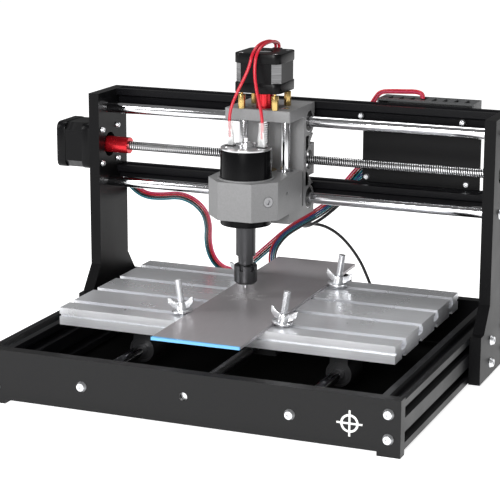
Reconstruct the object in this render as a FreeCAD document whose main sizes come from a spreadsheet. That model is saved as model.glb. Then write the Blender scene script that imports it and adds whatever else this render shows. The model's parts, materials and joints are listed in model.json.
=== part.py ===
import FreeCAD, Part

import math
import os
import Sketcher
from FreeCAD import Vector

# Desktop CNC router: a fixed gantry over a table that slides front to back.
# Frame of the model: +X right, +Y to the back, +Z up, origin on the floor under the
# middle of the base.  Lengths in millimetres, angles in degrees.

SIZES = dict(
    # base
    frame_w=360, panel_t=10, panel_h=46, panel_foot=19, panel_lift=3.5, panel_eye=7, base_len=290,
    prof=20, prof_lift=4.2, groove_w=6.2, groove_d=5.6, prof_core=5,
    # uprights, as an outline in Y and Z
    up_t=10, up_top=226, up_front=60, up_rear=117, knee_z=67, foot_z=45, foot_lift=3,
    foot_front=34, slant_front=43, slant_rear=134, foot_rear=144,
    # guide rods and lead screws
    rod_d=10, screw_d=8, x_axis_y=82, x_axis_z=176.5, x_rod_gap=34.25,
    y_rod_x=90, y_rod_z=23.6, y_screw_z=26.5, coupling_d=15, coupling_len=25,
    upper_z=206, lower_z=134, bolt=5, bolt_hole=5.3, bolt_depth=14, grip_gap=5.5,
    # stepper motors
    motor_w=42.3, motor_len=34, motor_cap=8.6, motor_corner=5, motor_hole=31, shaft_d=5,
    pilot_d=22, pilot_h=2, plug_w=14, plug_deep=3.85,
    # table
    bed_x=300, bed_y=180, bed_t=15, bed_z=49, bed_rest=12, slot_pitch=45, slot_w=8,
    slot_lip=2.6, slot_t_w=13, slot_t_h=5.4, under_w=9, under_d=3.5, edge_groove=2.2,
    block_len=30, block_w=27, bearing_d=19, bearing_len=29, block_reach=54,
    sheet_x=76.5, sheet_y=291, sheet_t=2.5, sheet_at=9.5, sheet_turn=0.85,
    clamp_x=45, clamp_lean=8.5, bolt_d=6, washer_d=18, washer_t=1.6, washer_lift=2.1,
    # carriage and vertical slide
    car_x=-13.6, car_w=60, car_low=128, car_top=226.5, car_front=33, car_wall=67.5,
    car_rear=93.5, plate_t=10, z_axis_y=50, z_rod_gap=19.5, z_rod_d=8,
    slide_w=64, slide_front=-18, slide_nose=15.4, slide_side=0.8, slide_rear=59,
    slide_low=138.4, slide_h=33, z_bearing_d=15, z_bearing_len=24, standoff=14.5,
    z_grip_len=20, z_grip_gap=2.5, tube_d=23, hub_d=22, nut_len=30, nut_od=15, web_t=4,
    # spindle
    spin_y=7.6, can_d=44.4, can_low=131.8, can_len=65.2, ext_d=17, neck_d=13, nut_d=20,
    nut_low=79, nut_h=17, bit_tip=69.9, bit_d=3.175,
    # controller
    ctrl_x0=54, ctrl_x1=162, ctrl_t=2, cover_x0=66, cover_x1=154, cover_deep=26,
    cover_top=229, cover_low=142, cover_wall=1.6,
    # cables
    motor_cable=5, spin_wire=2.8, lead_d=3, coil_mid=33, coil_wide=12, coil_high=9,
    coil_x=92, coil_y=246,
)

doc = FreeCAD.newDocument("cnc_router")
sheet = doc.addObject("Spreadsheet::Sheet", "Dims")
for row, (alias, value) in enumerate(SIZES.items(), start=1):
    sheet.set("A%d" % row, alias)
    sheet.set("B%d" % row, str(value))
    sheet.setAlias("B%d" % row, alias)
doc.recompute()


class Size:
    """A length that knows its value and the sheet formula it comes from."""

    def __init__(self, value, text):
        self.value = float(value)
        self.text = text

    @staticmethod
    def of(other):
        return other if isinstance(other, Size) else Size(other, "%.6g" % other)

    def __add__(self, other):
        other = Size.of(other)
        return Size(self.value + other.value, "(%s + %s)" % (self.text, other.text))

    def __radd__(self, other):
        return Size.of(other) + self

    def __sub__(self, other):
        other = Size.of(other)
        return Size(self.value - other.value, "(%s - %s)" % (self.text, other.text))

    def __rsub__(self, other):
        return Size.of(other) - self

    def __mul__(self, other):
        other = Size.of(other)
        return Size(self.value * other.value, "(%s * %s)" % (self.text, other.text))

    def __rmul__(self, other):
        return Size.of(other) * self

    def __truediv__(self, other):
        other = Size.of(other)
        return Size(self.value / other.value, "(%s / %s)" % (self.text, other.text))

    def __neg__(self):
        return Size(-self.value, "(-1 * %s)" % self.text)


def dim(alias):
    return Size(getattr(sheet, alias), "Dims." + alias)


class D:
    """Every size of the sheet by its alias."""


for alias in SIZES:
    setattr(D, alias, dim(alias))

nodes = []
count = {}


def unique(name):
    count[name] = count.get(name, 0) + 1
    return "%s_%d" % (name, count[name])


def bind(obj, **sizes):
    """Set properties of an object from sheet formulas."""
    for prop, size in sizes.items():
        size = Size.of(size)
        setattr(obj, prop, size.value)
        if "Dims" in size.text:
            obj.setExpression(prop, size.text)
    return obj


def put(obj, x=0, y=0, z=0, axis=None, angle=0):
    """Place an object, its position bound to the sheet."""
    spot = [Size.of(v) for v in (x, y, z)]
    turn = FreeCAD.Rotation(Vector(*(axis or (0, 0, 1))), angle)
    obj.Placement = FreeCAD.Placement(Vector(*[s.value for s in spot]), turn)
    for name, s in zip("xyz", spot):
        if "Dims" in s.text:
            obj.setExpression("Placement.Base." + name, s.text)
    return obj


AXES = {
    "x": ((0, 1, 0), 90),
    "y": ((1, 0, 0), -90),
    "z": ((0, 0, 1), 0),
    "-x": ((0, 1, 0), -90),
    "-y": ((1, 0, 0), 90),
    "-z": ((1, 0, 0), 180),
}


def box(x0, x1, y0, y1, z0, z1):
    x0, x1, y0, y1, z0, z1 = [Size.of(v) for v in (x0, x1, y0, y1, z0, z1)]
    obj = doc.addObject("Part::Box", unique("box"))
    bind(obj, Length=x1 - x0, Width=y1 - y0, Height=z1 - z0)
    return put(obj, x0, y0, z0)


def rod(d, length, x, y, z, along="z"):
    """A cylinder that starts at x, y, z and runs along an axis."""
    obj = doc.addObject("Part::Cylinder", unique("rod"))
    bind(obj, Radius=Size.of(d) / 2, Height=Size.of(length))
    axis, angle = AXES[along]
    return put(obj, x, y, z, axis, angle)


def cone(d0, d1, length, x, y, z, along="z"):
    obj = doc.addObject("Part::Cone", unique("cone"))
    bind(obj, Radius1=Size.of(d0) / 2, Radius2=Size.of(d1) / 2, Height=Size.of(length))
    axis, angle = AXES[along]
    return put(obj, x, y, z, axis, angle)


def join(*parts):
    if len(parts) == 1:
        return parts[0]
    obj = doc.addObject("Part::MultiFuse", unique("fuse"))
    obj.Shapes = list(parts)
    obj.Refine = True
    return obj


def cut(base, *tools):
    obj = doc.addObject("Part::Cut", unique("cut"))
    obj.Base = base
    obj.Tool = join(*tools)
    return obj


def group(*parts):
    """Separate solids kept in one node."""
    obj = doc.addObject("Part::Compound", unique("group"))
    obj.Links = list(parts)
    return obj


def node(name, obj):
    obj.Label = name
    nodes.append((name, obj))
    return obj


def body(name):
    return doc.addObject("PartDesign::Body", unique(name))


def sketch(owner, plane, **offset):
    """A sketch on one of the body's own origin planes."""
    obj = owner.newObject("Sketcher::SketchObject", unique("sketch"))
    base = [f for f in owner.Origin.OriginFeatures if f.Role == plane][0]
    obj.AttachmentSupport = [(base, "")]
    obj.MapMode = "FlatFace"
    for axis, size in offset.items():
        size = Size.of(size)
        setattr(obj.AttachmentOffset.Base, axis, size.value)
        obj.setExpression("AttachmentOffset.Base." + axis, size.text)
    return obj


def fix(sk, geo, pos, x, y):
    for kind, size in (("DistanceX", Size.of(x)), ("DistanceY", Size.of(y))):
        i = sk.addConstraint(Sketcher.Constraint(kind, -1, 1, geo, pos, size.value))
        if "Dims" in size.text:
            sk.setExpression("Constraints[%d]" % i, size.text)


def outline(sk, points):
    """A closed run of straight edges through the given corners."""
    pts = [(Size.of(x), Size.of(y)) for x, y in points]
    first = sk.GeometryCount
    for a, b in zip(pts, pts[1:] + pts[:1]):
        start = Vector(a[0].value, a[1].value, 0)
        end = Vector(b[0].value, b[1].value, 0)
        sk.addGeometry(Part.LineSegment(start, end), False)
    last = len(pts) - 1
    for i in range(len(pts)):
        after = first + (0 if i == last else i + 1)
        sk.addConstraint(Sketcher.Constraint("Coincident", first + i, 2, after, 1))
    for i, (x, y) in enumerate(pts):
        fix(sk, first + i, 1, x, y)


def rectangle(sk, x0, x1, y0, y1):
    outline(sk, [(x0, y0), (x1, y0), (x1, y1), (x0, y1)])


def circle(sk, d, x, y):
    r = Size.of(d) / 2
    x, y = Size.of(x), Size.of(y)
    geo = sk.addGeometry(Part.Circle(Vector(x.value, y.value, 0), Vector(0, 0, 1), r.value), False)
    i = sk.addConstraint(Sketcher.Constraint("Radius", geo, r.value))
    if "Dims" in r.text:
        sk.setExpression("Constraints[%d]" % i, r.text)
    fix(sk, geo, 3, x, y)


def pad(owner, sk, length, both=False):
    obj = owner.newObject("PartDesign::Pad", unique("pad"))
    obj.Profile = sk
    bind(obj, Length=Size.of(length))
    obj.Midplane = both
    return obj


# each direction's unit step and its opposite
STEPS = {
    "x": ((1, 0, 0), "-x"), "-x": ((-1, 0, 0), "x"),
    "y": ((0, 1, 0), "-y"), "-y": ((0, -1, 0), "y"),
    "z": ((0, 0, 1), "-z"), "-z": ((0, 0, -1), "z"),
}


def button_screw(x, y, z, along, d=5, head=9, high=2.8, length=12):
    """Button head cap screw: its head sits on the face at x, y, z and looks along the axis."""
    axis, angle = AXES[along]
    step, back = STEPS[along]
    dome = cone(head, head * 0.72, high, x, y, z, along)
    shank = rod(d, length, x, y, z, back)
    hexagon = doc.addObject("Part::Prism", unique("hex"))
    hexagon.Polygon = 6
    hexagon.Circumradius = d * 0.35
    hexagon.Height = high
    way = [v * high * 0.45 for v in step]
    put(hexagon, Size.of(x) + way[0], Size.of(y) + way[1], Size.of(z) + way[2], axis, angle)
    return cut(join(dome, shank), hexagon)


# end bearings of the X and Y lead screws
BEARING_OD = 16
BEARING_LEN = 5
BEARING_IN = 2
SEAT_FIT = 0.05

# running fits, on the diameter: linear bearings on their rods, nuts on their screws
BEARING_FIT = 0.06
NUT_FIT = 0.16

# ---------------------------------------------------------------- base panels
HALF = D.base_len / 2
RODS = ((-1, D.y_rod_x), (1, D.y_rod_x))


def panel(name, y0, motor):
    """End plate of the base: two feet, holes for rods, lead screw and profile screws."""
    half = D.frame_w / 2
    own = body(name)
    face = sketch(own, "XZ_Plane")
    inner = half - D.panel_foot
    outline(face, [
        (-half, 0), (-inner, 0), (-inner, D.panel_lift), (inner, D.panel_lift),
        (inner, 0), (half, 0), (half, D.panel_h), (-half, D.panel_h),
    ])
    for sign, x in RODS:
        circle(face, D.bolt_hole, sign * x, D.y_rod_z)
    for side in (-1, 1):
        x = side * (half - D.prof / 2)
        circle(face, D.bolt_hole, x, D.prof_lift + D.prof / 2)
        circle(face, D.bolt_hole, x, D.prof_lift + D.prof * 1.5)
    circle(face, 22.4 if motor else D.panel_eye, 0, D.y_screw_z)
    if motor:
        for sx in (-1, 1):
            for sz in (-1, 1):
                circle(face, 3.3, sx * D.motor_hole / 2, D.y_screw_z + sz * D.motor_hole / 2)
    pad(own, face, D.panel_t)
    put(own, 0, y0 + D.panel_t, 0)
    if motor:
        return node(name, own)
    seat = rod(BEARING_OD + SEAT_FIT, BEARING_IN + BEARING_LEN, 0, y0 + D.panel_t, D.y_screw_z, "-y")
    return node(name, cut(own, seat))


panel("front_panel", -HALF - D.panel_t, False)
panel("rear_panel", HALF, True)


# ---------------------------------------------------------------- aluminium profiles
# one groove, as steps along the side and depths from its face
GROOVE_LIP = 1.8
GROOVE_WIDE = 5.4
GROOVE_FLARE = 4.4


def groove(rise, nx, ny):
    """Corners of one groove in the side that faces nx, ny, walked anticlockwise."""
    face = D.prof / 2
    mouth = D.groove_w / 2
    steps = [(-GROOVE_FLARE, 0), (-mouth, GROOVE_LIP), (-GROOVE_WIDE, GROOVE_LIP),
             (-mouth * 0.95, D.groove_d)]
    shape = steps + [(-along, deep) for along, deep in reversed(steps)]
    corners = []
    for along, deep in shape:
        out = face - deep
        corners.append((out * nx - along * ny, rise + out * ny + along * nx))
    return corners


def profile(rows, length, x, y, z, along):
    """Slotted profile: squares of one width in a row, with a core hole in each."""
    own = body("profile")
    face = sketch(own, "XY_Plane")
    half = D.prof / 2
    top = D.prof * rows - half
    corners = [(-half, -half)] + groove(0, 0, -1) + [(half, -half)]
    for row in range(rows):
        corners += groove(D.prof * row, 1, 0)
    corners += [(half, top)] + groove(D.prof * (rows - 1), 0, 1) + [(-half, top)]
    for row in reversed(range(rows)):
        corners += groove(D.prof * row, -1, 0)
    outline(face, corners)
    for row in range(rows):
        circle(face, D.prof_core, 0, D.prof * row)
    pad(own, face, length)
    axis, angle = {"x": ((1, 1, 1), 120), "y": ((1, 0, 0), 90)}[along]
    return put(own, x, y, z, axis, angle)


node("base_profiles", group(*[
    profile(2, D.base_len, side * (D.frame_w / 2 - D.prof / 2), HALF, D.prof_lift + D.prof / 2, "y")
    for side in (-1, 1)]))
node("gantry_profiles", group(*[
    profile(1, D.frame_w, -D.frame_w / 2, D.up_rear - D.prof / 2, z + D.prof / 2, "x")
    for z in (D.lower_z, D.upper_z)]))


# ---------------------------------------------------------------- uprights
def upright(name, side):
    """Side plate with a wide foot, bored for the X axis and its fixings."""
    own = body(name)
    face = sketch(own, "YZ_Plane")
    outline(face, [
        (D.foot_front, D.foot_lift), (D.foot_rear, D.foot_lift), (D.foot_rear, D.foot_z),
        (D.slant_rear, D.foot_z), (D.up_rear, D.knee_z), (D.up_rear, D.up_top),
        (D.up_front, D.up_top), (D.up_front, D.knee_z), (D.slant_front, D.foot_z),
        (D.foot_front, D.foot_z),
    ])
    for sign in (-1, 1):
        circle(face, D.bolt_hole, D.x_axis_y, D.x_axis_z + sign * D.x_rod_gap)
    for z in (D.upper_z, D.lower_z):
        circle(face, D.bolt_hole, D.up_rear - D.prof / 2, z + D.prof / 2)
    for y in (D.foot_front + 34, D.foot_rear - 34):
        for row in (0.5, 1.5):
            circle(face, D.bolt_hole, y, D.prof_lift + D.prof * row)
    circle(face, 22.4 if side < 0 else 16.05, D.x_axis_y, D.x_axis_z)
    if side < 0:
        for sy in (-1, 1):
            for sz in (-1, 1):
                circle(face, 3.3, D.x_axis_y + sy * D.motor_hole / 2, D.x_axis_z + sz * D.motor_hole / 2)
    pad(own, face, D.up_t)
    put(own, D.frame_w / 2 if side > 0 else -D.frame_w / 2 - D.up_t, 0, 0)
    return node(name, own)


upright("left_upright", -1)
upright("right_upright", 1)

# ---------------------------------------------------------------- guide rods
def tapped_rod(length, x, y, z, along):
    """Guide rod with a blind screw hole in each end."""
    far = {"x": (x + length - D.bolt_depth, y, z), "y": (x, y + length - D.bolt_depth, z)}[along]
    return cut(rod(D.rod_d, length, x, y, z, along), rod(D.bolt, D.bolt_depth, x, y, z, along),
               rod(D.bolt, D.bolt_depth, *far, along))


node("x_guide_rods", group(*[
    tapped_rod(D.frame_w, -D.frame_w / 2, D.x_axis_y, D.x_axis_z + sign * D.x_rod_gap, "x")
    for sign in (-1, 1)]))
node("y_guide_rods", group(*[
    tapped_rod(D.base_len, sign * D.y_rod_x, -HALF, D.y_rod_z, "y") for sign in (-1, 1)]))

# ---------------------------------------------------------------- frame screws
OUT = D.frame_w / 2 + D.up_t
END = HALF + D.panel_t
screws = []
for face, way in ((-END, "-y"), (END, "y")):
    for sign in (-1, 1):
        screws.append(button_screw(sign * D.y_rod_x, face, D.y_rod_z, way, length=20))
        x = sign * (D.frame_w / 2 - D.prof / 2)
        for row in (0.5, 1.5):
            screws.append(button_screw(x, face, D.prof_lift + D.prof * row, way, d=4.95, length=20))
for face, way in ((-OUT, "-x"), (OUT, "x")):
    for sign in (-1, 1):
        screws.append(button_screw(face, D.x_axis_y, D.x_axis_z + sign * D.x_rod_gap, way, length=20))
    for z in (D.upper_z, D.lower_z):
        screws.append(button_screw(face, D.up_rear - D.prof / 2, z + D.prof / 2, way, d=4.95, length=20))
    for y in (D.foot_front + 34, D.foot_rear - 34):
        for row in (0.5, 1.5):
            screws.append(button_screw(face, y, D.prof_lift + D.prof * row, way, length=13))
node("frame_screws", group(*screws))


# ---------------------------------------------------------------- stepper motors
def chamfered_square(name, wide, corner, length):
    """Square with cut corners, extruded from z = 0."""
    own = body(name)
    face = sketch(own, "XY_Plane")
    h = Size.of(wide) / 2
    c = h - corner
    outline(face, [(-c, -h), (c, -h), (h, -c), (h, c), (c, h), (-c, h), (-h, c), (-h, -c)])
    pad(own, face, length)
    return own


def motor(name, x, y, z, along, side):
    """Stepper motor: front bell, lamination stack and rear bell with its socket on one side."""
    axis, angle = AXES[along]
    half = D.motor_w / 2
    rear_z = D.motor_len - D.motor_cap
    front = chamfered_square("bell", D.motor_w, D.motor_corner, D.motor_cap)
    stack = chamfered_square("stack", D.motor_w - 0.8, D.motor_corner + 1.6, rear_z - D.motor_cap)
    rear = chamfered_square("bell", D.motor_w, D.motor_corner, D.motor_cap)
    put(stack, 0, 0, D.motor_cap)
    put(rear, 0, 0, rear_z)
    bore = D.shaft_d + 1
    holes = [rod(2.9, 4.5, sx * D.motor_hole / 2, sy * D.motor_hole / 2, 0)
             for sx in (-1, 1) for sy in (-1, 1)]
    pilot = rod(D.pilot_d, D.pilot_h, 0, 0, -D.pilot_h)
    front = cut(join(front, pilot), rod(bore, D.motor_cap + D.pilot_h, 0, 0, -D.pilot_h), *holes)
    stack = cut(stack, rod(bore, 4, 0, 0, D.motor_cap))
    reach = (half - 1, half + D.plug_deep)
    wide = (-D.plug_w / 2, D.plug_w / 2)
    spans = {"y": wide + reach, "-x": (-reach[1], -reach[0]) + wide}[side]
    socket = box(*spans, rear_z + 0.8, D.motor_len - 1)
    rear = cut(join(rear, socket), rod(12, 1.2, 0, 0, D.motor_len - 1.2))
    return node(name, put(group(front, stack, rear), x, y, z, axis, angle))


motor("x_motor", -OUT, D.x_axis_y, D.x_axis_z, "-x", "y")
motor("y_motor", 0, END, D.y_screw_z, "y", "-x")

# M3 screws: X motor from inside the upright, Y motor from inside the panel, controller plate
small = []
for a in (-1, 1):
    for b in (-1, 1):
        small.append(button_screw(-D.frame_w / 2, D.x_axis_y + a * D.motor_hole / 2,
                                  D.x_axis_z + b * D.motor_hole / 2, "x", 2.8, 5.6, 2.2, 14))
        small.append(button_screw(a * D.motor_hole / 2, HALF, D.y_screw_z + b * D.motor_hole / 2,
                                  "-y", 2.8, 5.6, 2.2, 14))
for x in (D.ctrl_x0 + 4, D.ctrl_x1 - 12):
    upper = D.upper_z + D.prof / 2
    small.append(button_screw(x, D.up_rear - D.prof + 1.8, upper, "-y", 2.8, 5.6, 2.2, 3.8))
    small.append(button_screw(x, D.up_rear, D.lower_z + D.prof + 4, "-y", 2.8, 5.6, 2.2, 3))
node("small_screws", group(*small))


# ---------------------------------------------------------------- screw ends and couplings
def ball_bearing(x, y, z, along):
    bore = rod(D.screw_d + 0.1, BEARING_LEN, x, y, z, along)
    return cut(rod(BEARING_OD, BEARING_LEN, x, y, z, along), bore)


node("lead_screw_bearings", group(
    ball_bearing(D.frame_w / 2 + BEARING_IN, D.x_axis_y, D.x_axis_z, "x"),
    ball_bearing(0, -HALF - BEARING_IN, D.y_screw_z, "-y"),
))


def lead_screw(name, length, x, y, z, along):
    """Lead screw as a plain bar of its outer diameter, with a bevelled start."""
    axis, angle = AXES[along]
    bevel = 0.8
    bar = join(cone(D.screw_d - bevel * 2, D.screw_d, bevel, 0, 0, 0),
               rod(D.screw_d, length - bevel, 0, 0, bevel))
    return node(name, put(bar, x, y, z, axis, angle))


def coupling(name, length, x, y, z, along):
    """Rigid coupling: a sleeve bored for the motor shaft and the lead screw, with set screw holes."""
    axis, angle = AXES[along]
    half = length / 2
    sleeve = rod(D.coupling_d, length, 0, 0, 0)
    tools = [rod(D.shaft_d + 0.02, half, 0, 0, 0), rod(D.screw_d + 0.02, half, 0, 0, half)]
    for share in (0.2, 0.8):
        tools.append(rod(3, D.coupling_d, 0, 0, length * share, "x"))
    return node(name, put(cut(sleeve, *tools), x, y, z, axis, angle))


def shaft(name, gap, grip, x, y, z, along):
    """Motor shaft, from inside the front bell to just short of the middle of its coupling."""
    axis, angle = AXES[along]
    length = D.motor_cap + gap + grip / 2 - SCREW_GAP
    return node(name, put(join(rod(D.shaft_d, length, 0, 0, 0)), x, y, z, axis, angle))


# half the space between a motor shaft and its lead screw, in the coupling
SCREW_GAP = 0.5

# X axis: the motor face is at -OUT and its shaft reaches inward
X_GRIP = -OUT + D.grip_gap
X_START = X_GRIP + D.coupling_len / 2 + SCREW_GAP
coupling("x_coupling", D.coupling_len, X_GRIP, D.x_axis_y, D.x_axis_z, "x")
shaft("x_motor_shaft", D.grip_gap, D.coupling_len, -OUT - D.motor_cap, D.x_axis_y, D.x_axis_z, "x")
lead_screw("x_lead_screw", OUT - X_START, X_START, D.x_axis_y, D.x_axis_z, "x")

# Y axis: the motor face is at END and its shaft reaches forward
Y_GRIP = END - D.grip_gap
Y_START = Y_GRIP - D.coupling_len / 2 - SCREW_GAP
coupling("y_coupling", D.coupling_len, 0, Y_GRIP, D.y_screw_z, "-y")
shaft("y_motor_shaft", D.grip_gap, D.coupling_len, 0, END + D.motor_cap, D.y_screw_z, "-y")
lead_screw("y_lead_screw", Y_START + HALF + BEARING_IN + BEARING_LEN - 0.2, 0, Y_START, D.y_screw_z, "-y")

# ---------------------------------------------------------------- sliding table
BED_Y0 = D.bed_rest - D.bed_y / 2
BED_TOP = D.bed_z + D.bed_t


def bed():
    """Extruded T-slot table: four slots above, four grooves below, one groove in each edge."""
    own = body("bed")
    face = sketch(own, "YZ_Plane")
    y0, y1 = BED_Y0, BED_Y0 + D.bed_y
    z0, z1 = D.bed_z, BED_TOP
    centres = [D.bed_rest + D.slot_pitch * k for k in (-1.5, -0.5, 0.5, 1.5)]
    edge_z = z1 - 5.6
    pts = [(y0, z0)]
    for c in centres:
        w = D.under_w / 2
        pts += [(c - w, z0), (c - w, z0 + D.under_d), (c + w, z0 + D.under_d), (c + w, z0)]
    pts += [(y1, z0), (y1, edge_z - D.edge_groove), (y1 - 3, edge_z - D.edge_groove)]
    pts += [(y1 - 3, edge_z), (y1, edge_z)]
    pts += [(y1, z1)]
    for c in reversed(centres):
        w, t = D.slot_w / 2, D.slot_t_w / 2
        low = z1 - D.slot_lip
        knee = low - D.slot_t_h * 0.75
        deep = low - D.slot_t_h
        pts += [(c + w, z1), (c + w, low), (c + t, low), (c + t, knee), (c + w, deep),
                (c - w, deep), (c - t, knee), (c - t, low), (c - w, low), (c - w, z1)]
    pts += [(y0, z1), (y0, edge_z), (y0 + 3, edge_z)]
    pts += [(y0 + 3, edge_z - D.edge_groove), (y0, edge_z - D.edge_groove)]
    outline(face, pts)
    pad(own, face, D.bed_x, both=True)
    return node("bed_plate", own)


bed()


def bearing_unit(x, y):
    """Plastic housing with a linear bearing in it, screwed up against the table."""
    half = D.block_len / 2
    top = D.bed_z
    w = D.block_w / 2
    collar = rod(D.bearing_d + 3.6, D.block_len, x, y - half, D.y_rod_z, "y")
    neck = box(x - 8, x + 8, y - half, y + half, D.y_rod_z, top - 5)
    flange = box(x - w, x + w, y - half, y + half, top - 5, top)
    hollow = rod(D.bearing_d, D.block_len, x, y - half, D.y_rod_z, "y")
    housing = cut(join(collar, neck, flange), hollow)
    inner = (D.block_len - D.bearing_len) / 2
    bearing = cut(rod(D.bearing_d, D.bearing_len, x, y - half + inner, D.y_rod_z, "y"),
                  rod(D.rod_d + BEARING_FIT, D.bearing_len, x, y - half + inner, D.y_rod_z, "y"))
    return [housing, bearing]


units = []
for sx in (-1, 1):
    for sy in (-1, 1):
        units += bearing_unit(sx * D.y_rod_x, D.bed_rest + sy * (D.block_reach - D.block_len / 2))
node("y_bearing_blocks", group(*units))

# nut block under the middle of the table
block = box(-17, 17, D.bed_rest - 10, D.bed_rest + 10, D.y_screw_z - 9, D.bed_z)
node("y_nut_block", cut(block, rod(D.screw_d + NUT_FIT, 20, 0, D.bed_rest - 10, D.y_screw_z, "y")))

plate = body("sheet")
plate_face = sketch(plate, "XY_Plane")
rectangle(plate_face, -D.sheet_x / 2, D.sheet_x / 2, -D.sheet_y / 2, D.sheet_y / 2)
pad(plate, plate_face, D.sheet_t)
node("work_sheet", put(plate, -0.3, D.sheet_at, BED_TOP, (0, 0, 1), SIZES["sheet_turn"]))


# ---------------------------------------------------------------- hold-down clamps
def clamp(number, side, y):
    """T-bolt, washer and wing nut; they lean because one edge of the washer rides on the sheet."""
    lean = side * SIZES["clamp_lean"]
    spot = (side * D.clamp_x, y, BED_TOP, (0, 1, 0), lean)
    head_top = -D.slot_lip - 1
    head_low = head_top - 2.6
    shank = rod(D.bolt_d, 30 - head_low, 0, 0, head_low)
    head = box(-4.5, 4.5, -5.2, 5.2, head_low, head_top)
    ring = cut(rod(D.washer_d, D.washer_t, 0, 0, D.washer_lift),
               rod(D.bolt_d + 0.4, D.washer_t, 0, 0, D.washer_lift))
    node("clamp_bolt_%d" % number, put(group(join(shank, head), ring), *spot))

    base = D.washer_lift + D.washer_t
    wings = body("wings")
    face = sketch(wings, "XZ_Plane")
    for s in (-1, 1):
        outline(face, [(s * 3.6, base), (s * 5.2, base), (s * 12, base + 9), (s * 10.4, base + 13.2),
                       (s * 7.6, base + 12.4), (s * 3.6, base + 6)])
    pad(wings, face, 2.6, both=True)
    hub = join(cone(11, 8.6, 7, 0, 0, base), wings)
    nut = cut(hub, rod(D.bolt_d + 0.1, 8, 0, 0, base))
    node("wing_nut_%d" % number, put(nut, *spot))


front_slot = D.bed_rest - D.slot_pitch * 1.5
rear_slot = D.bed_rest + D.slot_pitch * 1.5
for number, side, y in ((1, -1, front_slot), (2, 1, front_slot), (3, 1, rear_slot), (4, -1, rear_slot)):
    clamp(number, side, y)

# ---------------------------------------------------------------- X carriage
CAR_L = D.car_x - D.car_w / 2
CAR_R = D.car_x + D.car_w / 2
X_RODS = [D.x_axis_z + s * D.x_rod_gap for s in (-1, 1)]


def carriage():
    """Moulded carriage: back wall with two bearing tubes, a top and a bottom shelf."""
    low_top = D.car_low + D.plate_t
    top_low = D.car_top - D.plate_t
    half_nut = D.nut_len / 2
    wall = (D.car_wall, D.car_wall + 5, D.car_low, D.car_top)
    pieces = [
        box(CAR_L, CAR_R, D.car_front, D.car_rear, top_low, D.car_top),
        box(CAR_L, CAR_R, D.car_front, D.car_rear, D.car_low, low_top),
        box(CAR_L, CAR_R, *wall),
        rod(D.hub_d, D.nut_len, D.car_x - half_nut, D.x_axis_y, D.x_axis_z, "x"),
        box(D.car_x - half_nut, D.car_x + half_nut, D.car_wall, D.x_axis_y, D.x_axis_z - 4, D.x_axis_z + 4),
    ]
    pieces += [rod(D.tube_d, D.car_w, CAR_L, D.x_axis_y, z, "x") for z in X_RODS]
    for x0, x1 in ((CAR_L, CAR_L + D.web_t), (CAR_R - D.web_t, CAR_R)):
        pieces.append(box(x0, x1, D.car_wall, D.car_wall + 13, D.car_low, D.car_top))
        pieces.append(box(x0, x1, D.car_wall, D.car_rear, D.x_axis_z - 14, D.x_axis_z + 14))
    tools = [rod(D.bearing_d, D.car_w, CAR_L, D.x_axis_y, z, "x") for z in X_RODS]
    tools.append(rod(D.nut_od, D.nut_len, D.car_x - half_nut, D.x_axis_y, D.x_axis_z, "x"))
    for x in (CAR_L, CAR_R - D.web_t):
        # the X coupling passes into the left web at the end of the travel
        tools.append(rod(D.coupling_d + 2, D.web_t, x, D.x_axis_y, D.x_axis_z, "x"))
    tools.append(rod(D.pilot_d, D.plate_t, D.car_x, D.z_axis_y, top_low))
    tools.append(rod(D.screw_d + 0.6, D.plate_t, D.car_x, D.z_axis_y, D.car_low))
    for sign in (-1, 1):
        tools.append(rod(D.z_rod_d, Z_ROD_LEN, D.car_x + sign * D.z_rod_gap, D.z_axis_y, Z_ROD_LOW))
    for x, y in MOTOR_CORNERS:
        tools.append(rod(3.2, D.plate_t, x, y, top_low))
    return node("x_carriage", cut(join(*pieces), *tools))


Z_ROD_LOW = D.car_low + 2
Z_ROD_LEN = D.car_top - D.car_low - 2
MOTOR_CORNERS = [(D.car_x + a * D.motor_hole / 2, D.z_axis_y + b * D.motor_hole / 2)
                 for a in (-1, 1) for b in (-1, 1)]
carriage()

bearings = []
for z in X_RODS:
    for x in (CAR_L + 0.5, CAR_R - 0.5 - D.bearing_len):
        bearings.append(cut(rod(D.bearing_d, D.bearing_len, x, D.x_axis_y, z, "x"),
                            rod(D.rod_d + BEARING_FIT, D.bearing_len, x, D.x_axis_y, z, "x")))
node("x_linear_bearings", group(*bearings))
NUT_X = D.car_x - D.nut_len / 2
node("x_lead_nut", cut(rod(D.nut_od, D.nut_len, NUT_X, D.x_axis_y, D.x_axis_z, "x"),
                       rod(D.screw_d + NUT_FIT, D.nut_len, NUT_X, D.x_axis_y, D.x_axis_z, "x")))
node("z_guide_rods", group(*[
    rod(D.z_rod_d, Z_ROD_LEN, D.car_x + sign * D.z_rod_gap, D.z_axis_y, Z_ROD_LOW) for sign in (-1, 1)]))

posts = []
for x, y in MOTOR_CORNERS:
    hexagon = doc.addObject("Part::Prism", unique("hex"))
    hexagon.Polygon = 6
    bind(hexagon, Circumradius=3.1, Height=D.standoff)
    put(hexagon, x, y, D.car_top)
    stud = rod(3, D.plate_t - 0.5, x, y, D.car_top - D.plate_t + 0.5)
    posts.append(join(hexagon, stud, rod(2.8, 4, x, y, D.car_top + D.standoff)))
node("z_motor_standoffs", group(*posts))

Z_FACE = D.car_top + D.standoff
Z_GRIP = Z_FACE - D.z_grip_gap
Z_START = Z_GRIP - D.z_grip_len / 2 - SCREW_GAP
motor("z_motor", D.car_x, D.z_axis_y, Z_FACE, "z", "y")
coupling("z_coupling", D.z_grip_len, D.car_x, D.z_axis_y, Z_GRIP, "-z")
shaft("z_motor_shaft", D.z_grip_gap, D.z_grip_len, D.car_x, D.z_axis_y, Z_FACE + D.motor_cap, "-z")
lead_screw("z_lead_screw", Z_START - D.car_low - 1, D.car_x, D.z_axis_y, Z_START, "-z")

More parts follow.
